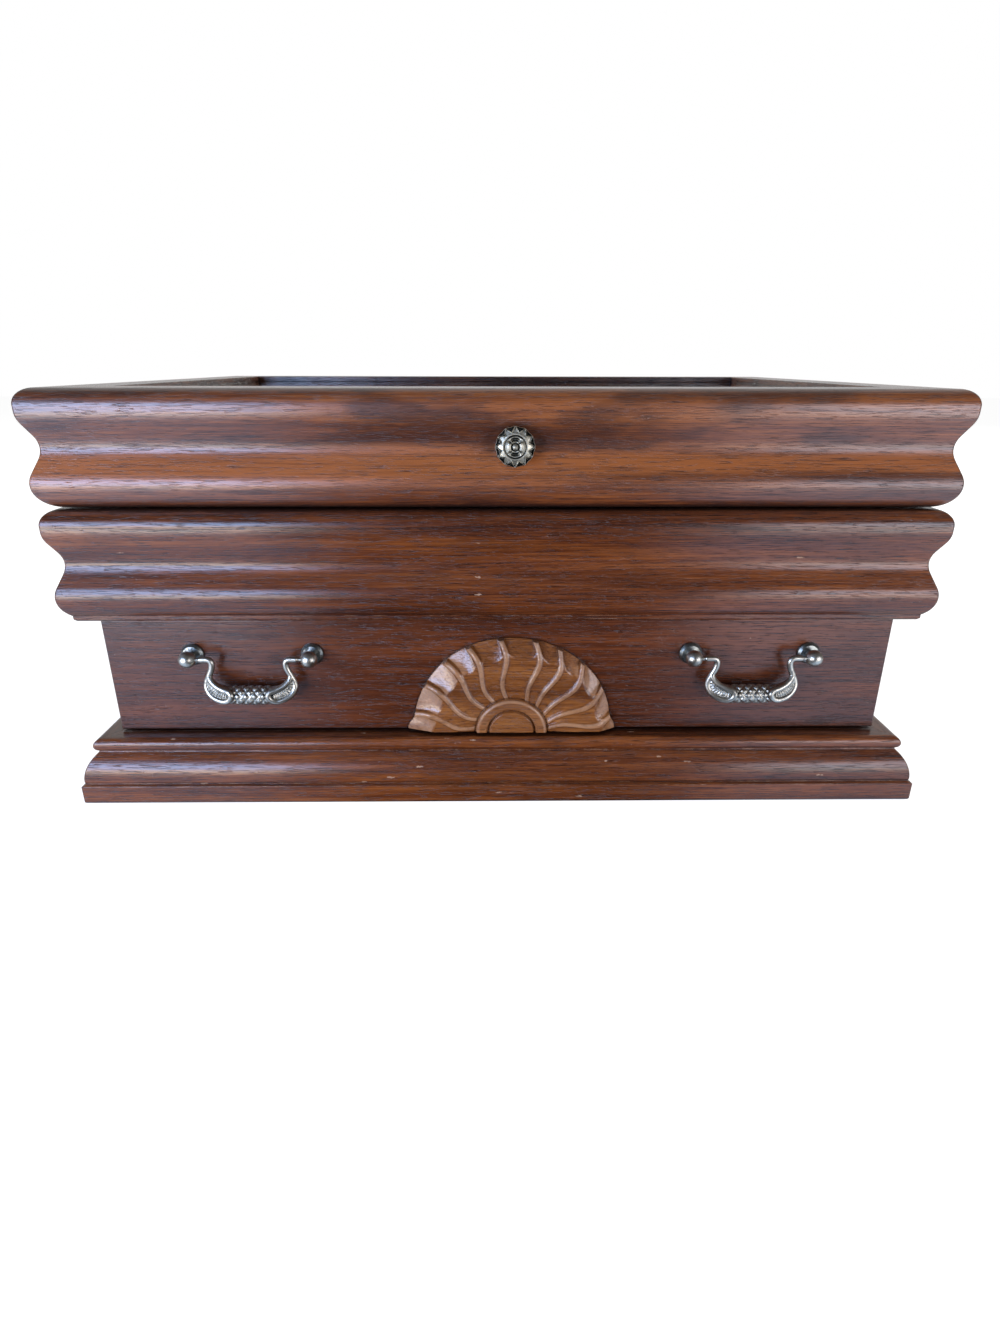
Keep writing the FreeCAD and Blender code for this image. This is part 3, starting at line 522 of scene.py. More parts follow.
@dataclass(frozen=True)
class Wood:
    """Stained or bare wood with bands, streaks, pores, lacquer and wear, painted shade in its corners and, on
    some boards, a painted glow band.

    A pair is how often a feature comes in a metre, along the grain and across it.
    """

    name: str
    dark: Colour
    middle: Colour
    light: Colour
    grain: Grain = Grain.ALONG_X
    seed: float = 0.0
    lacquer: float = 1.0
    gloss: float = 0.22
    patchy: float = 0.35
    wear: float = 0.5
    chips: float = 0.03
    # Colour of worn stain, also used for painted highlights where the piece is marked.
    wear_and_highlight: Colour = (0.36, 0.23, 0.155)
    marked: bool = False
    haze: float = 0.0
    # Painted shade and dirt: how strongly the wood is darkened, and how far from a corner.
    dirt_and_shade: float = 0.75
    dirt_and_shade_reach: float = 4.0 * MM
    # Height and half width of a painted glow band along the board; there is none where the half width is 0.
    glow_band_height: float = 0.0
    glow_band_half: float = 0.0
    bands: tuple[float, float] = (3.5, 62.0)
    streaks: tuple[float, float] = (13.0, 330.0)
    fibres: tuple[float, float] = (30.0, 1500.0)
    pores: tuple[float, float] = (130.0, 2900.0)
    patches: tuple[float, float] = (17.0, 44.0)
    chip_cells: tuple[float, float] = (85.0, 300.0)
    rubbing_scale: float = 160.0
    ragged_scale: float = 900.0
    edge_radius: float = 0.7 * MM

    def build(self) -> bpy.types.Material:
        """Make the material."""
        return WoodSheet(self).make()


class WoodSheet(Sheet):
    """Node tree of a wood, whose tone is laid on layer by layer."""

    def __init__(self, wood: Wood) -> None:
        """Start with the wood's own figure.

        Args:
            wood: The finish.
        """
        super().__init__(wood.name)
        self.wood = wood
        self.shift = (wood.seed * 0.37, wood.seed * 0.113, wood.seed * 0.071)
        self.bands = self.noise(self.stretched(wood.bands), 2.0, 0.5)
        self.streaks = self.noise(self.stretched(wood.streaks), 3.0, 0.55)
        self.fibres = self.noise(self.stretched(wood.fibres), 3.0, 0.6)
        self.flecks = self.noise(self.stretched(wood.pores), 2.0, 0.5)
        self.patches = self.noise(self.stretched(wood.patches), 3.0, 0.55)
        self.rubbed = self.noise(self.object_space((wood.rubbing_scale,) * 3, self.shift), 4.0, 0.65)
        self.open_pores = self.ramp(self.flecks, 0.565, 0.64)
        self.rounded = self.add("Bevel", {"samples": 4}, Radius=wood.edge_radius).outputs[0]
        self.tone: object = rgba(wood.dark)

    def stretched(self, scale: tuple[float, float]) -> Socket:
        """Place on the wood for a feature that runs with the grain.

        Args:
            scale: How often the feature comes in a metre along the grain and across it.

        Returns:
            The place.
        """
        along, across = scale
        stretch = [across] * 3
        stretch[self.wood.grain.value] = along
        return self.object_space(tuple(stretch), self.shift)

    def lay(self, share: object, colour: Colour) -> None:
        """Lay a colour over the tone."""
        self.tone = self.blend(share, self.tone, rgba(colour))

    def stain(self) -> None:
        """Stain over the figure of bands, streaks and fibres, darker in patches."""
        figure = self.plus(self.times(self.bands, 0.38), self.times(self.streaks, 0.22))
        figure = self.plus(figure, self.times(self.fibres, 0.40))
        self.lay(self.ramp(figure, 0.36, 0.53), self.wood.middle)
        self.lay(self.ramp(figure, 0.49, 0.64), self.wood.light)
        self.lay(self.times(self.ramp(self.patches, 0.47, 0.62), self.wood.patchy), self.wood.dark)

    def painted_glow_band(self) -> None:
        """Painted glow: a pale band along the board at one height, broken up by the grain's fibres."""
        height = self.add("SeparateXYZ", None, Vector=self.object_space()).outputs[2]
        drift = self.times(self.minus(self.bands, 0.5), 0.03)
        off = self.math("ABSOLUTE", self.minus(self.plus(height, drift), self.wood.glow_band_height))
        near = self.ramp(off, self.wood.glow_band_half, self.wood.glow_band_half * 0.3)
        pale = self.times(near, self.ramp(self.fibres, 0.3, 0.55, 0.45, 0.95))
        self.lay(pale, shaded(self.wood.light, 1.25))

    def fill_pores(self) -> None:
        """Dark open pores and a few pale ones."""
        self.lay(self.times(self.open_pores, 0.6), shaded(self.wood.dark, 0.35))
        self.lay(self.times(self.ramp(self.flecks, 0.42, 0.34), 0.2), shaded(self.wood.light, 1.35))

    def wear_edges(self) -> None:
        """Stain rubbed off in places along the sharp edges."""
        turned = self.add("VectorMath", {"operation": "DOT_PRODUCT"})
        self.put(turned, 0, self.rounded)
        self.put(turned, 1, self.add("NewGeometry").outputs["Normal"])
        edge = self.ramp(turned.outputs["Value"], 0.985, 0.9)
        edge = self.times(edge, self.ramp(self.rubbed, 0.46, 0.62))
        self.lay(self.times(edge, self.wood.wear), self.wood.wear_and_highlight)

    def lay_wear_and_painted_light(self) -> None:
        """Pale where the piece's mark attribute is above 0, for wear and painted highlights, and dark where
        it is below, for painted shade.
        """
        mark = self.add("Attribute", {"attribute_name": "wear_and_painted_light"}).outputs["Fac"]
        uneven = self.ramp(self.rubbed, 0.3, 0.6, 0.18, 0.55)
        self.lay(self.times(self.ramp(mark, 0.0, 1.0), uneven), self.wood.wear_and_highlight)
        self.lay(self.ramp(mark, 0.0, -1.0, 0.0, 0.9), self.wood.dark)

    def chip(self) -> Socket:
        """Small chips in the lacquer.

        Returns:
            1 inside a chip and 0 elsewhere.
        """
        wobble = self.noise(self.object_space((self.wood.ragged_scale,) * 3, self.shift), 2.0)
        spots = self.add("TexVoronoi", None, Vector=self.stretched(self.wood.chip_cells), Scale=1.0)
        near = self.plus(spots.outputs["Distance"], self.times(wobble, 0.3))
        chance = self.add("SeparateColor", None, Color=spots.outputs["Color"]).outputs[0]
        chipped = self.times(self.ramp(near, 0.28, 0.23), self.math("LESS_THAN", chance, self.wood.chips))
        self.lay(self.times(chipped, 0.75), self.wood.wear_and_highlight)
        return chipped

    def lay_dirt_and_painted_shade(self) -> None:
        """Dirt and painted shade in the corners and seams between pieces and under parts that stand close."""
        # Painted shade: occlusion by any nearby piece darkens the wood almost to black.
        clean = self.crevices(self.wood.dirt_and_shade_reach, 0.35, 0.85, False)
        self.lay(self.times(self.minus(1.0, clean), self.wood.dirt_and_shade), shaded(self.wood.dark, 0.15, 0.002))

    def surface(self, chipped: Socket) -> Socket:
        """Relief of chips, fibres, streaks and pores over softened edges.

        Args:
            chipped: 1 inside a chip.

        Returns:
            The normal.
        """
        dents = self.relief(self.minus(1.0, chipped), 0.15 * MM, 0.8, self.rounded)
        lines = self.relief(self.fibres, 0.08 * MM, 0.55, dents)
        lines = self.relief(self.streaks, 0.16 * MM, 0.3, lines)
        return self.relief(self.minus(1.0, self.open_pores), 0.06 * MM, 0.8, lines)

    def make(self) -> bpy.types.Material:
        """Lay on every layer in turn.

        Returns:
            The material.
        """
        wood = self.wood
        self.stain()
        # Painted glow band, where the wood has one.
        if wood.glow_band_half > 0:
            self.painted_glow_band()
        self.fill_pores()
        self.wear_edges()
        if wood.marked:
            self.lay_wear_and_painted_light()
        chipped = self.chip()
        self.lay_dirt_and_painted_shade()
        uneven = self.ramp(self.patches, 0.3, 0.7, wood.gloss - 0.04, wood.gloss + 0.08)
        rough = self.plus(self.times(self.open_pores, 0.2), uneven)
        rough = self.plus(rough, self.times(chipped, 0.3), True)
        normal = self.surface(chipped)
        return self.finish(Base_Color=self.tone, Roughness=self.plus(rough, 0.2), Normal=normal, IOR=1.5,
                           Specular_IOR_Level=wood.haze, Coat_Weight=wood.lacquer, Coat_IOR=1.6,
                           Coat_Roughness=wood.gloss, Coat_Normal=normal)


@dataclass(frozen=True)
class Metal:
    """Cast or rolled metal with tarnish in its hollows and rubbed high places."""

    name: str
    bright: Colour
    tarnish: Colour
    roughness: float = 0.33
    reach: float = 1.6 * MM
    pitted: float = 0.05 * MM
    clouded: float = 0.45
    cloud_scale: float = 420.0
    pit_scale: float = 2400.0

    def build(self) -> bpy.types.Material:
        """Make the material.

        Returns:
            The material.
        """
        sheet = Sheet(self.name)
        cloud = sheet.noise(sheet.object_space((self.cloud_scale,) * 3), 4.0, 0.6)
        pits = sheet.noise(sheet.object_space((self.pit_scale,) * 3), 3.0, 0.6)
        clear = sheet.crevices(self.reach, 0.5, 0.97)
        clear = sheet.minus(clear, sheet.ramp(cloud, 0.45, 0.7, 0.0, self.clouded), True)
        tone = sheet.blend(clear, rgba(self.tarnish), rgba(self.bright))
        rough = sheet.plus(sheet.ramp(clear, 0.0, 1.0, self.roughness + 0.3, self.roughness),
                           sheet.ramp(cloud, 0.3, 0.7, -0.04, 0.07))
        return sheet.finish(Base_Color=tone, Roughness=rough, Metallic=1.0,
                            Normal=sheet.relief(pits, self.pitted, 0.5))


@dataclass(frozen=True)
class Cloth:
    """Velvet or felt with its nap."""

    name: str
    deep: Colour
    raised: Colour
    sheen: float
    nap: float = 0.25 * MM
    brushed_scale: float = 38.0
    pile_scale: float = 2600.0

    def build(self) -> bpy.types.Material:
        """Make the material.

        Returns:
            The material.
        """
        sheet = Sheet(self.name)
        brushed = sheet.noise(sheet.object_space((self.brushed_scale,) * 3), 3.0, 0.55)
        pile = sheet.noise(sheet.object_space((self.pile_scale,) * 3), 3.0, 0.7)
        tone = sheet.blend(sheet.ramp(brushed, 0.38, 0.62), rgba(self.deep), rgba(self.raised))
        tone = sheet.blend(sheet.ramp(pile, 0.35, 0.7, 0.0, 0.4), tone, rgba(self.deep))
        tint = tuple(min(3 * part + 0.1, 1.0) for part in self.raised)
        return sheet.finish(Base_Color=tone, Roughness=0.95, Specular_IOR_Level=0.15, Sheen_Weight=self.sheen,
                            Sheen_Roughness=0.35, Sheen_Tint=rgba(tint),
                            Normal=sheet.relief(pile, self.nap, 0.7))


@dataclass(frozen=True)
class Glass:
    """Clear float glass with faint smears."""

    name: str
    tint: Colour
    smears: Corner = (9.0, 30.0, 9.0)

    def build(self) -> bpy.types.Material:
        """Make the material.

        Returns:
            The material.
        """
        sheet = Sheet(self.name)
        smear = sheet.noise(sheet.object_space(self.smears), 3.0, 0.6)
        return sheet.finish(Base_Color=rgba(self.tint), Roughness=sheet.ramp(smear, 0.45, 0.75, 0.0, 0.06),
                            IOR=1.5, Transmission_Weight=1.0)


Finish = Wood | Metal | Cloth | Glass


@functools.cache
def made(finish: Finish) -> bpy.types.Material:
    """Material of a finish, made once."""
    return finish.build()


def mahogany(name: str, warmth: float, grain: Grain, seed: float, **changes: float) -> Wood:
    """Stained and lacquered mahogany.

    Args:
        name: The material's name.
        warmth: 0 for the dark red-brown boards, 1 for the amber ones.
        grain: The way that its grain runs.
        seed: Shifts the figure, so that each board differs.
        changes: Other fields of the finish.

    Returns:
        The finish.
    """
    dark = tuple(mix(*pair, warmth) for pair in ((0.016, 0.040), (0.0042, 0.0100), (0.0024, 0.0045)))
    middle = tuple(mix(*pair, warmth) for pair in ((0.050, 0.150), (0.0118, 0.041), (0.0040, 0.0110)))
    light = tuple(mix(*pair, warmth) for pair in ((0.094, 0.300), (0.0235, 0.098), (0.0075, 0.023)))
    return Wood(name, dark, middle, light, grain, seed, **changes)


def bare_wood(name: str, grain: Grain, seed: float) -> Wood:
    """Unfinished inner wood."""
    return Wood(name, (0.26, 0.14, 0.07), (0.40, 0.24, 0.13), (0.52, 0.34, 0.20), grain, seed,
                lacquer=0.0, gloss=0.55, patchy=0.1, wear=0.0, chips=0.0, haze=0.4)


# On the carved fan the worn colour marks wear and painted highlights, and the dark colour marks painted
# shade.
CARVED_WOOD = Wood("carved_fan_wood", (0.070, 0.021, 0.006), (0.165, 0.057, 0.015), (0.255, 0.103, 0.032),
                   seed=4.4, gloss=0.17, patchy=0.2, wear=0.2, chips=0.0, wear_and_highlight=(0.38, 0.225, 0.135),
                   marked=True, dirt_and_shade=0.3, dirt_and_shade_reach=1.0 * MM)
PEWTER = Metal("antique_pewter", (0.50, 0.47, 0.40), (0.012, 0.019, 0.020))
DARK_PEWTER = Metal("patinated_pewter", (0.24, 0.25, 0.23), (0.010, 0.016, 0.018), clouded=0.8)
KNOB_PEWTER = Metal("rubbed_pewter", (0.58, 0.53, 0.41), (0.035, 0.036, 0.028), roughness=0.42,
                    reach=1.2 * MM, clouded=0.35)
HINGE_BRASS = Metal("hinge_brass", (0.78, 0.58, 0.28), (0.16, 0.09, 0.035), roughness=0.3,
                    reach=1.0 * MM, pitted=0.02 * MM)
ZINC = Metal("zinc_steel", (0.62, 0.62, 0.63), (0.2, 0.19, 0.17), roughness=0.35, reach=1.0 * MM,
             pitted=0.02 * MM)
VELVET = Cloth("wine_velvet", (0.10, 0.006, 0.012), (0.24, 0.018, 0.03), sheen=0.7)
FELT = Cloth("green_felt", (0.02, 0.035, 0.024), (0.035, 0.055, 0.04), sheen=0.2)
CLEAR = Glass("lid_glass_clear", (0.93, 0.97, 0.96))


# Sub-assemblies
class SolidWork:
    """The solids that keep their shape and get a finish."""

    def __init__(self) -> None:
        """List each solid with its finish."""
        along_x, along_y, along_z = Grain.ALONG_X, Grain.ALONG_Y, Grain.ALONG_Z
        self.finishes: dict[str, Finish] = {}
        # The lid boards are cloudy, with a painted glow band at a height of 0.143 m.
        cloudy = {"patchy": 0.7, "haze": 0.25, "gloss": 0.26, "glow_band_height": 0.143, "glow_band_half": 0.008}
        mouldings = (("lid_", 0.55, 1.0, cloudy), ("case_moulding_", 0.42, 2.0, {}),
                     ("plinth_", 0.48, 3.0, {"chips": 0.16}))
        for prefix, warmth, seed, changes in mouldings:
            for index, side in enumerate(("front", "back", "left", "right")):
                grain = along_x if side in ("front", "back") else along_y
                self.finishes[prefix + side] = mahogany("mahogany_" + prefix + side, warmth, grain,
                                                        seed + 0.37 * index, **changes)
        self.finishes["drawer_front"] = mahogany("mahogany_drawer_front", 0.08, along_x, 5.3, patchy=0.2)
        boards = (("side_left", along_y, 6.1), ("side_right", along_y, 6.4), ("back_board", along_x, 6.9),
                  ("top_rail", along_x, 7.3), ("bottom_rail", along_x, 7.8))
        for name, grain, seed in boards:
            self.finishes[name] = mahogany("mahogany_" + name, 0.15, grain, seed)
        inner = (("runner_left", along_y, 8.1), ("runner_right", along_y, 8.2), ("glue_blocks", along_z, 8.3),
                 ("drawer_stops", along_y, 8.4), ("drawer_side_left", along_y, 8.5),
                 ("drawer_side_right", along_y, 8.6), ("drawer_back", along_x, 8.7),
                 ("glass_bead_front", along_x, 8.8), ("glass_bead_back", along_x, 8.9),
                 ("glass_bead_left", along_y, 9.0), ("glass_bead_right", along_y, 9.1),
                 ("compartment_floor", along_x, 9.2), ("bottom_panel", along_x, 9.3),
                 ("drawer_bottom", along_x, 9.4))
        for name, grain, seed in inner:
            self.finishes[name] = bare_wood("inner_" + name, grain, seed)
        fittings = ((CLEAR, "lid_glass"), (PEWTER, "handle_posts"), (DARK_PEWTER, "handle_rosettes"),
                    (HINGE_BRASS, "hinge_case_leaf_left", "hinge_case_leaf_right", "hinge_lid_leaf_left",
                     "hinge_lid_leaf_right", "hinge_pin_left", "hinge_pin_right", "hinge_case_screws",
                     "hinge_lid_screws"),
                    (ZINC, "knob_screw", "handle_nuts"))
        for finish, *names in fittings:
            for name in names:
                self.finishes[name] = finish

    def dress(self) -> None:
        """Give every listed solid its material."""
        for name, finish in self.finishes.items():
            solid = frame["nodes"][name]
            solid.data.materials.clear()
            solid.data.materials.append(made(finish))
            LOG.info("%s: %s", name, finish.name)


@dataclass
class Part:
    """A group of pieces that ride on one body."""

    body: str

    def dress(self, piece: bpy.types.Object, finish: Finish, slot: str, *nodes: str) -> None:
        """Give a new piece its material and body, and hide the solids it stands for.

        Args:
            piece: The new piece, in place.
            finish: Its finish.
            slot: Not used.
            nodes: The solids that it replaces.
        """
        piece.data.materials.clear()
        piece.data.materials.append(made(finish))
        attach(piece, self.body)
        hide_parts(*nodes)
        LOG.info("%s on %s: %d faces", piece.name, self.body, len(piece.data.polygons))


@dataclass
class FanCarving(Part):
    """Half-round fan with S-curved ridges, scooped flutes and a ringed hub, sizes in millimetres.

    Angles are in degrees from the fan's right foot. A share runs from 0 at the hub to 1 at the rim. Heights
    are measured from the drawer front.
    """

    body: str = "drawer"
    rim_angles: tuple[float, ...] = (8.7, 27, 46, 61.6, 76.5, 96.5, 115.7, 131.8, 149.8, 169.3)
    hub_angles: tuple[float, ...] = (5.5, 15.6, 29.6, 47.5, 65.7, 98, 118.8, 136.7, 159, 173.7)
    hub: float = 15.8
    groove: float = 10.2
    boss_height: float = 6.0
    ring_height: float = 6.2
    right_toe: float = 2.4
    left_toe: float = 2.6
    rim: float = 1.0
    ridge_narrow: float = 0.9
    ridge_wide: float = 1.35
    ridge_root: float = 5.4
    ridge_height: float = 6.45
    ridge_end: float = 4.4
    bed_root: float = 4.8
    bed_height: float = 5.7
    scoop: float = 0.3
    least_step: float = 0.4
    sway: float = 1.5
    lean: float = 0.6
    back_gap: float = 0.02
    hub_rings: int = 34
    flute_rings: int = 84
    flute_columns: int = 14
    foot_columns: int = 16
    ridge_columns: tuple[float, ...] = (0.0, 0.3, 0.6, 0.8, 0.95, 1.1, 1.3, 1.6)

    def ridge_angle(self, hub_angle: float, rim_angle: float, share: float, radius: float) -> float:
        """Angle of an S-curved ridge on its way from the hub to the rim.

        Args:
            hub_angle: Its angle at the hub.
            rim_angle: Its angle at the rim.
            share: Share of the way.
            radius: Radius there.

        Returns:
            The angle.
        """
        drift = self.lean * math.sin(math.pi * share) - self.sway * math.sin(2 * math.pi * share)
        return mix(hub_angle, rim_angle, share) - math.degrees(drift / radius)

    def outer(self, solid: float, angle: float) -> float:
        """Outer radius at an angle, with toes that spread at the foot."""
        toes = self.right_toe * smooth(9.0, 1.0, angle) + self.left_toe * smooth(171.5, 179.0, angle)
        return solid - 0.5 + toes + 1.1 * bump(25.0, 40.0, angle) - 0.6 * bump(90.0, 40.0, angle)

    def knee(self, angle: float) -> float:
        """Share at which a flute turns down to the rim."""
        return mix(0.76, 0.60, smooth(35.0, 150.0, angle))

    def hub_height(self, radius: float) -> float:
        """Height of the hub's boss and ring above the drawer front.

        Args:
            radius: Distance from the middle of the foot.

        Returns:
            The height.
        """
        if radius < self.groove:
            dome = self.boss_height - 0.35 * (radius / self.groove) ** 2
            return dome - 1.5 * smooth(self.groove - 0.8, self.groove, radius)
        along = (radius - self.groove) / (self.hub - self.groove)
        ring = self.ring_height - 0.8 * abs(2 * along - 1) ** 3
        ring -= 1.2 * smooth(self.groove + 0.7, self.groove, radius)
        return ring - 1.5 * smooth(self.hub - 0.6, self.hub, radius)

    def flute_height(self, share: float, across: float, half: float, ridge: float, angle: float) -> float:
        """Height of a ridge or flute above the drawer front.

        Args:
            share: Share of the way from hub to rim.
            across: Distance to the nearest ridge's middle line.
            half: Half the distance between the two ridges.
            ridge: Half width of a ridge.
            angle: Angle round the fan.

        Returns:
            The height.
        """
        top = mix(self.ridge_root, self.ridge_height, smooth(0.0, 0.35, share))
        top = mix(top, self.ridge_end, smooth(0.7, 1.04, share))
        strand = top - 0.5 * min(across / ridge, 1.15) ** 2
        depth = min(max((across - ridge) / max(half - ridge, 0.1), 0.0), 1.0)
        bed = mix(self.bed_root, self.bed_height, smooth(0.0, 0.4, share))
        bed -= self.scoop * math.sin(math.pi / 2 * depth)
        knee = self.knee(angle) + 0.13 * (1.0 - math.sqrt(1.0 - (1.0 - depth) ** 2))
        slope = max(share - knee, 0.0) / (1.0 - knee)
        facet = mix(bed, self.rim, slope * slope / (slope + 0.015))
        return mix(strand, min(facet, top - self.least_step), smooth(ridge * 0.85, ridge * 1.15, across))

    def wear_and_painted_light(self, radius: float, share: float, across: float, ridge: float, angle: float) -> float:
        """How pale or dark the wood is marked at a point: pale for wear and painted highlights, dark for
        painted shade.

        Args:
            radius: Distance from the middle of the foot.
            share: Share of the way from hub to rim, below 0 on the hub.
            across: Distance to the nearest ridge's middle line.
            ridge: Half width of a ridge.
            angle: Angle round the fan.

        Returns:
            1 where it is palest, and below 0 in the painted shade of the hub's groove and the creases.
        """
        if share < 0:
            # Painted highlight along the ring's outer edge and painted shade in the groove.
            ring = 0.25 * smooth(self.groove, self.groove + 0.8, radius)
            ring += 0.75 * bump(self.hub - 1.1, 0.9, radius)
            return ring - 0.9 * bump(self.groove, 0.7, radius)
        wide = across / ridge
        knee = self.knee(angle)
        # Painted highlight on the flute-end facets towards the left and the right.
        aside = smooth(58.0, 40.0, angle) + smooth(112.0, 126.0, angle)
        facet = 0.85 * aside * smooth(knee + 0.02, knee + 0.06, share) * smooth(1.1, 1.5, wide)
        # Strands pale from wear and painted highlight; painted shade in the crease beside each strand and at
        # the hub's edge.
        return smooth(1.05, 0.75, wide) - 0.45 * bump(1.3, 0.35, wide) - 0.6 * bump(0.0, 0.03, share) + facet

    def stations(self, share: float, radius: float) -> list[tuple[float, float, float, float]]:
        """Columns of points in one ring.

        Args:
            share: The ring's share of the way from hub to rim.
            radius: Its radius.

        Returns:
            Angle, distance to the nearest ridge, half gap and ridge half width of every column.
        """
        ridges = [self.ridge_angle(hub, rim, share, radius)
                  for hub, rim in zip(self.hub_angles, self.rim_angles)]
        ridge = mix(self.ridge_narrow, self.ridge_wide, share)
        rises = [step * ridge for step in self.ridge_columns]
        places = []
        for left, right in zip([None] + ridges, ridges + [None]):
            low = 0.0 if left is None else left
            high = 180.0 if right is None else right
            span = radius * math.radians(high - low)
            if left is None:
                distances = [span - step * span / self.foot_columns for step in range(self.foot_columns)]
                places += [(math.degrees((span - away) / radius), away, span, ridge) for away in distances]
            elif right is None:
                distances = [step * span / self.foot_columns for step in range(self.foot_columns + 1)]
                places += [(low + math.degrees(away / radius), away, span, ridge) for away in distances]
            else:
                half = span / 2
                flats = [mix(rises[-1], 2 * half - rises[-1], step / self.flute_columns)
                         for step in range(1, self.flute_columns)]
                distances = rises + flats + [2 * half - rise for rise in reversed(rises)][:-1]
                places += [(low + math.degrees(away / radius), min(away, 2 * half - away), half, ridge)
                           for away in distances]
        return places

    def rings(self, solid: float) -> list[tuple[float, float]]:
        """Rings of points from the middle of the foot to the rim.

        Args:
            solid: Outer radius of the solid.

        Returns:
            Radius and share of each ring, with a share of -1 on the hub.
        """
        rings = [(self.hub * (ring / self.hub_rings) ** 0.8, -1.0) for ring in range(self.hub_rings)]
        rings += [(mix(self.hub, solid, ring / self.flute_rings), ring / self.flute_rings)
                  for ring in range(self.flute_rings + 1)]
        return rings

    def front(self, low: Vector, high: Vector) -> tuple[list[Vector], list[float]]:
        """The carved front, ring by ring.

        Args:
            low: Lowest corner of the solid.
            high: Its highest corner, on the drawer front.

        Returns:
            Its points, and the wear and painted light at each one.
        """
        middle_x = (low.x + high.x) / 2
        solid = (high.x - low.x) / 2 / MM
        points = []
        marks = []
        for radius, share in self.rings(solid):
            for angle, across, half, ridge in self.stations(max(share, 0.0), max(radius, self.hub)):
                marks.append(self.wear_and_painted_light(radius, share, across, ridge, angle))
                away = radius
                height = self.hub_height(radius)
                if share >= 0:
                    away = mix(self.hub, self.outer(solid, angle), share)
                    height = self.flute_height(share, across, half, ridge, angle)
                    height = mix(min(height, 4.1), height, smooth(0.0, 0.035, share))
                turn = math.radians(angle)
                points.append(Vector((middle_x + away * math.cos(turn) * MM, high.y - height * MM,
                                      low.z + away * math.sin(turn) * MM)))
        return points, marks

    def close(self, points: list[Vector], rings: int, back: float) -> Faces:
        """Join the front's points and close the rim, the foot and the back.

        Args:
            points: Points of the front, to which those of the back's edge are added.
            rings: Number of rings in the front.
            back: Where the back lies.

        Returns:
            The faces.
        """
        first = len(points)
        columns = first // rings
        start = first - columns
        points += [Vector((point.x, back, point.z)) for point in points[start:]]
        faces = grid_faces(rings, columns)
        faces += [(start + i, start + i + 1, first + i + 1, first + i) for i in range(columns - 1)]
        foot = [ring * columns for ring in range(rings - 1, 0, -1)]
        foot += [ring * columns + columns - 1 for ring in range(rings)]
        faces.append((first, *foot, first + columns - 1))
        faces.append(tuple(range(first, first + columns)))
        return faces

    @staticmethod
    def mark(piece: bpy.types.Object, points: list[Vector], marks: list[float]) -> None:
        """Write the wear and painted light to the piece as an attribute.

        Args:
            piece: The carving.
            points: Points at which the rubbing is known.
            marks: Wear and painted light at each of them.
        """
        places = kdtree.KDTree(len(points))
        for index, point in enumerate(points):
            places.insert(point, index)
        places.balance()
        wear_and_painted_light = piece.data.attributes.new("wear_and_painted_light", "FLOAT", "POINT")
        for vertex in piece.data.vertices:
            wear_and_painted_light.data[vertex.index].value = marks[places.find(vertex.co)[1]]

    def build(self) -> None:
        """Make the fan where its solid stands."""
        low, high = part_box("fan_carving")
        points, marks = self.front(low, high)
        faces = self.close(points, self.hub_rings + self.flute_rings + 1, high.y - self.back_gap * MM)
        marks += [0.0] * (len(points) - len(marks))
        piece = make_piece("carved_fan", points, faces, 50.0)
        self.mark(piece, points, marks)
        self.dress(piece, CARVED_WOOD, "carved_mahogany", "fan_carving")


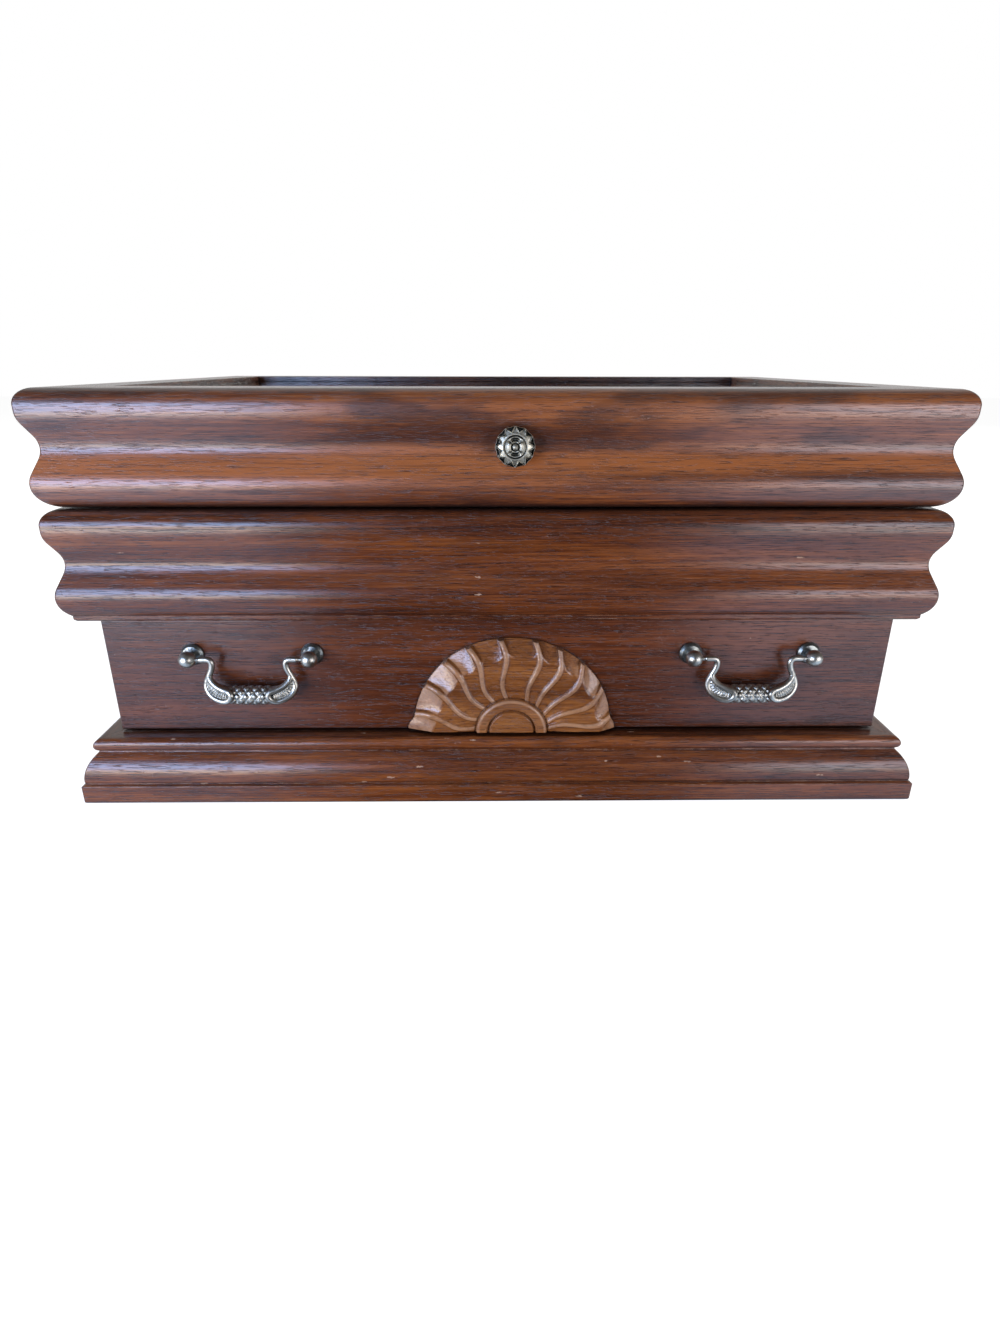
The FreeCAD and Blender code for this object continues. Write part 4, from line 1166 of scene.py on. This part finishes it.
@dataclass
class Bail(Part):
    """Swan-necked cast bail whose rods curl into tongues on a quilted grip, sizes in millimetres.

    The lines are those of the right half, from its pivot or from the middle of the grip.
    """

    rod_line: tuple[Corner, ...] = (
        (20.6, 0, 0), (18.7, 0, 0.05), (17.0, 0, 0), (15.85, 0, -0.7), (15.45, 0, -2.2), (15.95, 0, -4.5),
        (17.4, 0, -7.6), (18.5, -0.1, -10.4), (18.6, -0.5, -12.7), (17.3, -1.4, -15.1), (14.7, -2.5, -16.9),
        (11.0, -3.3, -17.75), (8.7, -3.75, -16.7), (7.75, -3.95, -15.0), (8.7, -3.45, -13.5),
        (11.2, -2.75, -12.75), (14.0, -1.9, -11.5), (16.2, -0.9, -9.6), (17.2, -0.2, -7.8))
    grip_line: tuple[Corner, ...] = (
        (0, -16.2, 4.0), (4.0, -16.2, 4.0), (7.0, -16.15, 3.95), (10.0, -15.9, 3.8), (13.0, -14.9, 3.5),
        (15.3, -13.1, 2.9), (16.7, -10.8, 2.0), (17.2, -8.2, 1.0))
    rod: float = 1.28
    tenon: float = 0.86
    tenon_root: float = 19.8
    tenon_tip: float = 24.2
    girth: float = 4.1
    quilt_pitch: float = 3.65
    quilt_rise: float = 4.3
    quilt_end: float = 8.6
    quilt_lean: float = 12.0
    quilt_depth: float = 0.6
    quilt_sink: float = 0.45
    rib_depth: float = 0.4
    rib_sink: float = 0.42
    rib_pitch: float = 1.02
    rib_end: float = 21.0
    cell: float = 0.19
    around: int = 96
    rod_around: int = 28

    def pattern(self, run: float, angle: float) -> float:
        """Relief of the grip's casting.

        Args:
            run: Distance from the middle along the grip.
            angle: Angle round it in radians, 0 to the front.

        Returns:
            How far the surface stands out.
        """
        arc = (angle - math.radians(self.quilt_lean)) * self.girth
        first = abs((run / self.quilt_pitch + arc / self.quilt_rise) % 1.0 - 0.5) * 2
        second = abs((run / self.quilt_pitch - arc / self.quilt_rise) % 1.0 - 0.5) * 2
        pillow = smooth(0.1, 0.62, min(1.0 - first, 1.0 - second)) * self.quilt_depth - self.quilt_sink
        away = abs(run)
        ribs = (0.5 + 0.5 * math.cos(2 * math.pi * away / self.rib_pitch)) * self.rib_depth - self.rib_sink
        quilted = smooth(self.quilt_end + 0.5, self.quilt_end - 0.2, away)
        ribbed = smooth(self.rib_end, self.rib_end - 3.0, away)
        return pillow * quilted + ribs * (1.0 - quilted) * ribbed

    def grip_tube(self) -> Shell:
        """The thick part, from one arm to the other.

        Returns:
            Its points and faces.
        """
        half = smooth_path(self.grip_line, 14)
        full = [(-x, z, radius) for x, z, radius in reversed(half[1:])] + half
        line = [Vector((x, 0, z)) for x, z, _ in full]
        runs = [0.0]
        for start, end in zip(line, line[1:]):
            runs.append(runs[-1] + (end - start).length)
        middle = runs[-1] / 2

        def reach(run: float, angle: float) -> float:
            """Radius with the casting's relief."""
            radius = full[min(range(len(runs)), key=lambda number: abs(runs[number] - run))][2]
            return radius + self.pattern(run - middle, angle) * smooth(0.9, 1.6, radius)
        return tube(line, reach, self.around)

    def build(self) -> None:
        """Make the bail on its pivot line."""
        joint = next(item for item in frame["joints"] if item["name"] == self.body + "_swing")
        half = smooth_path(self.rod_line, 8)
        shells = [self.grip_tube()]
        for sign in (-1.0, 1.0):
            line = [Vector((sign * x, y, z)) for x, y, z in half]
            shells.append(tube(line, lambda run, angle: self.rod * mix(0.86, 1.0, smooth(0.0, 0.35, run)),
                               self.rod_around))
            tenon = [Vector((sign * mix(self.tenon_root, self.tenon_tip, step / 10), 0, 0))
                     for step in range(11)]
            shells.append(tube(tenon, lambda run, angle: self.tenon, self.rod_around))
        piece = cast("cast_" + self.body, shells, self.cell, Vector(joint["pos_m"]))
        self.dress(piece, PEWTER, "pewter", self.body)


@dataclass
class Knob(Part):
    """Cast rosette knob with a zigzag ridge inside its rim and four petals, sizes in millimetres."""

    body: str = "lid"
    radius: float = 7.5
    neck: float = 5.4
    plate: float = 2.1
    sunk: float = 0.5
    teeth: int = 12
    notch: float = 0.035
    rings: int = 90
    around: int = 360

    def face(self, share: float, angle: float) -> float:
        """Height of the front above its rim plane.

        Args:
            share: Share of the way from the middle to the rim.
            angle: Angle round the knob in radians.

        Returns:
            The height.
        """
        dome = 1.7 * (1.0 - share ** 2) + 0.5
        tooth = abs(((angle * self.teeth / (2 * math.pi)) + 0.5) % 1.0 - 0.5) * 2
        zigzag = mix(0.97, 0.72, tooth)
        dome += 0.55 * bump(zigzag, 0.07, share) + 0.25 * bump(0.98, 0.035, share)
        dome -= 0.8 * smooth(zigzag + 0.01, zigzag + 0.07, share) * smooth(0.975, 0.93, share)
        dome += 0.12 * bump(0.64, 0.08, share)
        upright = abs(math.sin(angle))
        dome -= (0.35 + 0.25 * smooth(0.6, 0.95, upright)) * bump(0.54, 0.05, share)
        petal = bump(0.34, 0.2, share)
        dome += 0.75 * petal * smooth(0.75, 0.45, upright)
        dome -= petal * (1.0 + 0.35 * math.cos(60.0 * share)) * bump(1.0, 0.3, upright)
        dome -= 0.5 * petal * bump(0.66, 0.12, upright) + 0.7 * bump(0.18, 0.05, share)
        return dome + 0.45 * smooth(0.15, 0.03, share)

    def scallop(self, angle: float, depth: float) -> float:
        """Share of the radius that the notches of the rim leave at an angle."""
        return 1.0 - self.notch * depth * (0.5 - 0.5 * math.cos(self.teeth * angle))

    def build(self) -> None:
        """Make the knob on its seat."""
        low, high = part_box("lid_knob")
        middle = Vector(((low.x + high.x) / 2, high.y, (low.z + high.z) / 2))
        angles = [2 * math.pi * step / self.around for step in range(self.around)]
        depth = self.neck + self.plate
        back = [(3.0, 0.0), (2.5, 1.2), (2.35, 2.6), (2.9, 4.2), (5.5, self.neck), (6.8, self.neck + 0.6),
                (7.4, self.neck + 1.5), (self.radius, depth)]
        points = []
        for radius, height in back:
            points += [self.place(middle, radius * self.scallop(angle, radius > 5.0), angle, height)
                       for angle in angles]
        for ring in range(self.rings, 0, -1):
            share = ring / self.rings
            points += [self.place(middle, self.radius * share * self.scallop(angle, share ** 6), angle,
                                  depth - self.sunk + self.face(share, angle)) for angle in angles]
        faces = grid_faces(len(back) + self.rings, self.around, True)
        faces.append(tuple(range(self.around)))
        last = len(points) - self.around
        tip = len(points)
        points.append(self.place(middle, 0.0, 0.0, depth - self.sunk + self.face(0.0, 0.0)))
        faces += [(last + i, last + (i + 1) % self.around, tip) for i in range(self.around)]
        piece = make_piece("cast_knob", points, faces, 50.0)
        self.dress(piece, KNOB_PEWTER, "pewter", "lid_knob")

    @staticmethod
    def place(middle: Vector, radius: float, angle: float, height: float) -> Vector:
        """Point of the knob from its radius, angle and height in millimetres."""
        return middle + Vector((radius * math.cos(angle), -height, radius * math.sin(angle))) * MM


@dataclass
class VelvetPanels(Part):
    """Velvet-covered linings and dividers of the upper compartment."""

    body: str = "case"
    edge: float = 0.57 * MM
    cell: float = 4.0 * MM
    divider_shrink: float = 0.5 * MM
    divider_swell: float = 0.4 * MM

    @staticmethod
    def crumple(point: Vector, share: Vector, axis: int, swell: float) -> Vector:
        """Point pushed out along an axis, most in the middle of the panel, with a little unevenness.

        Args:
            point: The point.
            share: Its place in the panel from -1 to 1.
            axis: The panel's thin direction.
            swell: How far the padding pushes out.

        Returns:
            The point moved.
        """
        rest = [share[i] for i in range(3) if i != axis]
        crown = (1 - rest[0] ** 4) * (1 - rest[1] ** 4)
        moved = point.copy()
        moved[axis] += math.copysign(swell, share[axis]) * crown * (0.7 + 0.3 * noise.noise(point * 45))
        return moved

    def panel(self, node: str, axis: int, shrink: float = 0.0, swell: float = 0.0) -> None:
        """Velvet-covered panel in the place of its solid.

        Args:
            node: The solid that it stands for.
            axis: The panel's thin direction.
            shrink: How much thinner it starts on each side.
            swell: How far the padding pushes out.
        """
        low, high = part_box(node)
        low[axis] += shrink
        high[axis] -= shrink
        piece = soft_block("velvet_" + node, tuple(low), tuple(high), self.edge, self.cell,
                           lambda point, share: self.crumple(point, share, axis, swell))
        self.dress(piece, VELVET, "velvet", node)

    def build(self) -> None:
        """Make every lining and divider."""
        self.panel("floor_lining", 2)
        for side in ("left", "right"):
            self.panel("lining_" + side, 0)
            self.panel("divider_" + side, 0, self.divider_shrink, self.divider_swell)
        for side in ("front", "back"):
            self.panel("lining_" + side, 1)
        self.panel("divider_cross", 1, self.divider_shrink, self.divider_swell)


@dataclass(frozen=True)
class Roll:
    """One padded ring roll."""

    number: int
    middle: float
    foot: float
    top: float
    radius: float
    fold_depth: float = 0.25 * MM

    def point(self, x: float, share: float, pull: float) -> Vector:
        """Point on the roll's outline.

        Args:
            x: Place along the roll.
            share: 0 at the front foot, over the top to 1 at the back foot.
            pull: How far the roll is drawn in there, 1 for not at all.

        Returns:
            The point.
        """
        rise = self.top - self.foot - self.radius
        upright = rise / (rise * 2 + math.pi * self.radius)
        if share < upright:
            across, height = -1.0, rise * share / upright
        elif share > 1 - upright:
            across, height = 1.0, rise * (1 - share) / upright
        else:
            turn = math.pi * (share - upright) / (1 - 2 * upright)
            across, height = -math.cos(turn), rise + self.radius * math.sin(turn)
        crease = noise.noise(Vector((x * 90, self.middle * 60 + self.number, height * 60)))
        fold = self.fold_depth * crease
        squeeze = 0.995 - 0.05 * smooth(0.35, 0.0, height / (self.top - self.foot))
        return Vector((x, self.middle + across * (self.radius * squeeze * pull - abs(fold)),
                       self.foot + height * mix(pull, 1.0, 0.15) - max(fold, 0.0) * (height > 2 * MM)))


@dataclass
class RingRolls(Part):
    """Padded ring rolls side by side, each with drawn-in ends and small folds."""

    body: str = "case"
    count: int = 7
    columns: int = 120
    around: int = 40
    end_length: float = 7.0 * MM
    end_share: float = 0.82
    fill: float = 0.85

    def make_roll(self, roll: Roll, left: float, right: float) -> bpy.types.Object:
        """Mesh of one roll.

        Args:
            roll: The roll.
            left: Its left end.
            right: Its right end.

        Returns:
            The new object.
        """
        points = []
        for column in range(self.columns + 1):
            x = left + (right - left) * column / self.columns
            end = min(x - left, right - x)
            pull = math.sqrt(max(1 - (1 - min(end / self.end_length, 1.0)) ** 2, 0.0))
            points += [roll.point(x, step / self.around, mix(self.end_share, 1.0, pull))
                       for step in range(self.around + 1)]
        row = self.around + 1
        faces = grid_faces(self.columns + 1, row)
        faces += [tuple(range(row)), tuple(range(self.columns * row, (self.columns + 1) * row))]
        faces += [(c * row, c * row + self.around, (c + 1) * row + self.around, (c + 1) * row)
                  for c in range(self.columns)]
        return make_piece(f"ring_roll_{roll.number + 1}", points, faces, 70.0)

    def build(self) -> None:
        """Make the rolls in the place of their solids."""
        low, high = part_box("ring_rolls")
        pitch = (high.y - low.y) / self.count
        for number in range(self.count):
            roll = Roll(number, low.y + pitch * (number + 0.5), low.z, high.z, pitch / 2)
            piece = self.make_roll(roll, low.x, high.x)
            self.dress(piece, VELVET, "velvet", "ring_rolls")


@dataclass
class DrawerVelvet(Part):
    """Velvet tray lining of the drawer with rounded inside corners."""

    body: str = "drawer"
    thickness: float = 1.3 * MM
    across: int = 90
    deep: int = 60

    def build(self) -> None:
        """Make the tray in the place of its solid."""
        low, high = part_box("drawer_lining")
        inset = self.thickness
        height = high.z - low.z
        levels = [(0.0, 0.0), (0.0, height - 0.5 * MM), (0.25 * MM, height), (inset - 0.25 * MM, height),
                  (inset, height - 0.5 * MM), (inset, 6 * MM), (inset + 0.3 * MM, 3.4 * MM),
                  (inset + 1.2 * MM, 2.0 * MM), (inset + 3 * MM, self.thickness)]
        sides = [step / self.across for step in range(self.across)]
        ends = [step / self.deep for step in range(self.deep)]
        loop = ([(u, 0.0) for u in sides] + [(1.0, v) for v in ends]
                + [(1 - u, 1.0) for u in sides] + [(0.0, 1 - v) for v in ends])
        points = []
        for inward, rise in levels:
            for u, v in loop:
                wave = 0.12 * MM * noise.noise(Vector((u * 30, v * 24, rise * 400))) if rise > 0 else 0.0
                points.append(Vector((mix(low.x + inward, high.x - inward, u),
                                      mix(low.y + inward, high.y - inward, v), low.z + rise - abs(wave))))
        faces = grid_faces(len(levels), len(loop), True)
        faces.append(tuple(range(len(loop))))
        faces.append(tuple(range((len(levels) - 1) * len(loop), len(levels) * len(loop))))
        piece = make_piece("velvet_drawer_lining", points, faces, 60.0)
        self.dress(piece, VELVET, "velvet", "drawer_lining")


@dataclass
class Felt(Part):
    """Felt under the bottom panel, cut a little ragged."""

    body: str = "case"
    edge: float = 0.3 * MM
    cell: float = 6.0 * MM
    uneven: float = 0.25 * MM

    def ragged(self, point: Vector, share: Vector) -> Vector:
        """Point drawn in unevenly at the felt's edge.

        Args:
            point: The point.
            share: Its place in the felt from -1 to 1.

        Returns:
            The point moved.
        """
        moved = point.copy()
        for axis in (0, 1):
            if abs(share[axis]) > 0.97:
                moved[axis] -= math.copysign(self.uneven * (1 + noise.noise(point * 300)), share[axis])
        return moved

    def build(self) -> None:
        """Make the felt in the place of its solid."""
        low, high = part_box("base_felt")
        piece = soft_block("felt_underside", tuple(low), tuple(high), self.edge, self.cell, self.ragged)
        self.dress(piece, FELT, "felt", "base_felt")


# Studio
@dataclass(frozen=True)
class Softbox:
    """Soft area lamp that faces the box."""

    name: str
    place: Corner
    size: tuple[float, float]
    radiance: float
    colour: Colour = (1.0, 1.0, 1.0)
    mirrored: bool = False

    def build(self, aim: Vector) -> None:
        """Hang the lamp.

        Args:
            aim: Point that it faces.
        """
        lamp = bpy.data.lights.new(self.name, "AREA")
        lamp.shape = "RECTANGLE"
        lamp.size, lamp.size_y = self.size
        lamp.energy = self.radiance * math.pi * self.size[0] * self.size[1]
        lamp.color = self.colour
        lamp_object = add_to_scene(self.name, lamp)
        lamp_object.location = self.place
        lamp_object.rotation_euler = (aim - Vector(self.place)).to_track_quat("-Z", "Y").to_euler()
        lamp_object.visible_camera = False
        lamp_object.visible_glossy = self.mirrored


@dataclass(frozen=True)
class Studio:
    """Camera, lamps, floor and backdrop."""

    camera_place: Corner = (-3.6 * MM, -421.0 * MM, 181.0 * MM)
    camera_pitch: float = 21.86
    camera_yaw: float = 0.73
    camera_roll: float = 0.12
    focal_pixels: float = 760.0
    image_height: float = 1333.0
    film: float = 36.0
    aim: Corner = (0.0, -0.1, 0.09)
    floor_half: float = 4.0
    floor_level: float = -0.2 * MM
    floor_colour: Colour = (0.42, 0.42, 0.42)
    floor_glow: Colour = (0.9, 0.9, 0.9)
    floor_mirrored: Colour = (0.40, 0.41, 0.44)
    # Pale blue painted reflection of the apron.
    apron_mirrored: Colour = (0.42, 0.64, 1.0)
    # Painted shade that reflections and bounced light see in front of the box.
    painted_shade_colour: Colour = (0.045, 0.04, 0.035)
    ambient: float = 0.17
    mirrored: float = 0.1
    wall: float = 0.7

    lamps: tuple[Softbox, ...] = (
        Softbox("left_sky", (-0.40, -0.52, 0.19), (0.48, 0.18), 12.0, (0.42, 0.60, 1.0), True),
        Softbox("left_sill", (-0.40, -0.52, 0.052), (0.48, 0.09), 8.0, (1.0, 0.88, 0.76), True),
        Softbox("right_sky", (0.45, -0.525, 0.165), (0.44, 0.17), 5.2, (0.80, 0.84, 1.0), True),
        Softbox("right_sill", (0.45, -0.525, 0.045), (0.44, 0.07), 4.5, (1.0, 0.9, 0.82), True),
        Softbox("left_panel", (-0.24, -0.50, 0.06), (0.10, 0.12), 17.0, (1.0, 0.95, 0.90)),
        Softbox("right_panel", (0.24, -0.50, 0.06), (0.10, 0.12), 17.0, (1.0, 0.94, 0.88)),
        Softbox("back_fill", (0.6, 1.6, 1.2), (1.4, 1.0), 4.5, (1.0, 0.97, 0.94)),
        Softbox("left_fill", (-1.7, 0.5, 1.0), (1.2, 1.0), 2.6),
        Softbox("right_fill", (1.7, 0.4, 1.0), (1.2, 1.0), 2.2),
    )

    def build(self) -> None:
        """Set up everything round the box."""
        self.build_camera()
        for lamp in self.lamps:
            lamp.build(Vector(self.aim))
        self.build_floor()
        self.build_world()
        bpy.context.scene.view_settings.view_transform = "Standard"

    def build_camera(self) -> None:
        """Camera at the photograph's viewpoint."""
        camera = bpy.data.cameras.new("photo_camera")
        camera.lens = self.focal_pixels / self.image_height * self.film
        camera.sensor_width = self.film
        camera.clip_start = 0.01
        camera_object = add_to_scene("photo_camera", camera)
        camera_object.location = self.camera_place
        turn = Euler((math.radians(90 - self.camera_pitch), 0.0, -math.radians(self.camera_yaw)))
        camera_object.rotation_euler = turn
        camera_object.rotation_euler.rotate_axis("Z", math.radians(self.camera_roll))
        bpy.context.scene.camera = camera_object

    def build_floor(self) -> None:
        """Pale floor, white to the eye, with a soft shadow, and painted shade in front of the box that only
        reflections and bounced light see.
        """
        reach = self.floor_half
        points = [Vector((x * reach, y * reach, self.floor_level))
                  for x, y in ((-1, -1), (1, -1), (1, 1), (-1, 1))]
        floor = make_piece("studio_floor", points, [(0, 1, 2, 3)])
        sheet = Sheet("pale_floor")
        light = sheet.add("LightPath").outputs
        place = sheet.add("SeparateXYZ", None, Vector=sheet.object_space()).outputs
        aside = sheet.plus(sheet.math("ABSOLUTE", place[0]), sheet.times(place[1], 0.3))
        # Painted shade: a dark wedge before the middle that only reflections and bounced light see. Painted
        # reflection: the apron is the floor that the front mirrors, pale blue in reflections only.
        painted_shade_wedge = sheet.times(sheet.ramp(aside, 0.09, 0.01), sheet.ramp(place[1], -0.08, -0.14))
        mirrored = sheet.times(light["Is Glossy Ray"], sheet.minus(1.0, painted_shade_wedge))
        seen = sheet.larger(light["Is Camera Ray"], sheet.larger(mirrored, light["Is Transmission Ray"]))
        apron = sheet.times(sheet.ramp(place[1], -0.10, -0.16), sheet.ramp(place[1], -0.9, -0.6))
        mirror_colour = sheet.blend(apron, rgba(self.floor_mirrored), rgba(self.apron_mirrored))
        bounced = sheet.times(light["Is Glossy Ray"], sheet.minus(1.0, light["Is Transmission Ray"]))
        glow_colour = sheet.blend(bounced, rgba(self.floor_glow), mirror_colour)
        glow = sheet.add("Emission", None, Color=glow_colour, Strength=seen)
        laid = sheet.times(painted_shade_wedge, sheet.minus(1.0, light["Is Camera Ray"]))
        matt_colour = sheet.blend(laid, rgba(self.floor_colour), rgba(self.painted_shade_colour))
        matt = sheet.add("BsdfDiffuse", None, Color=matt_colour)
        both = sheet.add("AddShader")
        sheet.put(both, 0, glow.outputs[0])
        sheet.put(both, 1, matt.outputs[0])
        sheet.put(sheet.tree.nodes["Material Output"], "Surface", both.outputs[0])
        floor.data.materials.append(sheet.material)

    def build_world(self) -> None:
        """White backdrop with an even light, mirrored pale behind the box and dark in front of it."""
        world = bpy.data.worlds.new("studio_world")
        world.use_nodes = True
        bpy.context.scene.world = world
        sheet = NodeSheet(world.node_tree)
        light = sheet.add("LightPath").outputs
        away = sheet.add("SeparateXYZ", None, Vector=sheet.add("TexCoord").outputs["Generated"]).outputs
        forward = sheet.larger(sheet.times(away[1], -1.0), 0.001)
        aside = sheet.math("ABSOLUTE", sheet.minus(sheet.math("DIVIDE", away[0], forward), 0.07))
        sides = sheet.ramp(aside, 0.22, 0.42, 0.03)
        above = sheet.add("MapRange", None, Value=away[2], From_Min=0.5, From_Max=0.75).outputs[0]
        behind = sheet.ramp(away[1], 0.0, 0.35, 0.0, self.wall)
        around = sheet.larger(sheet.times(sheet.larger(sides, above), self.mirrored), behind)
        mirrored = sheet.times(light["Is Glossy Ray"], around)
        seen = sheet.larger(light["Is Camera Ray"], sheet.larger(mirrored, light["Is Transmission Ray"]))
        matt = sheet.times(light["Is Diffuse Ray"], self.ambient)
        back = world.node_tree.nodes["Background"]
        sheet.put(back, "Color", (1.0, 1.0, 1.0, 1.0))
        sheet.put(back, "Strength", sheet.larger(seen, matt))


def main() -> None:
    """Build and dress the whole box, then its studio."""
    logging.basicConfig(level=logging.INFO, format="%(name)s: %(message)s")
    SolidWork().dress()
    FanCarving().build()
    for body in ("bail_left", "bail_right"):
        Bail(body).build()
    Knob().build()
    VelvetPanels().build()
    RingRolls().build()
    DrawerVelvet().build()
    Felt().build()
    Studio().build()


if __name__ == "__main__":
    main()
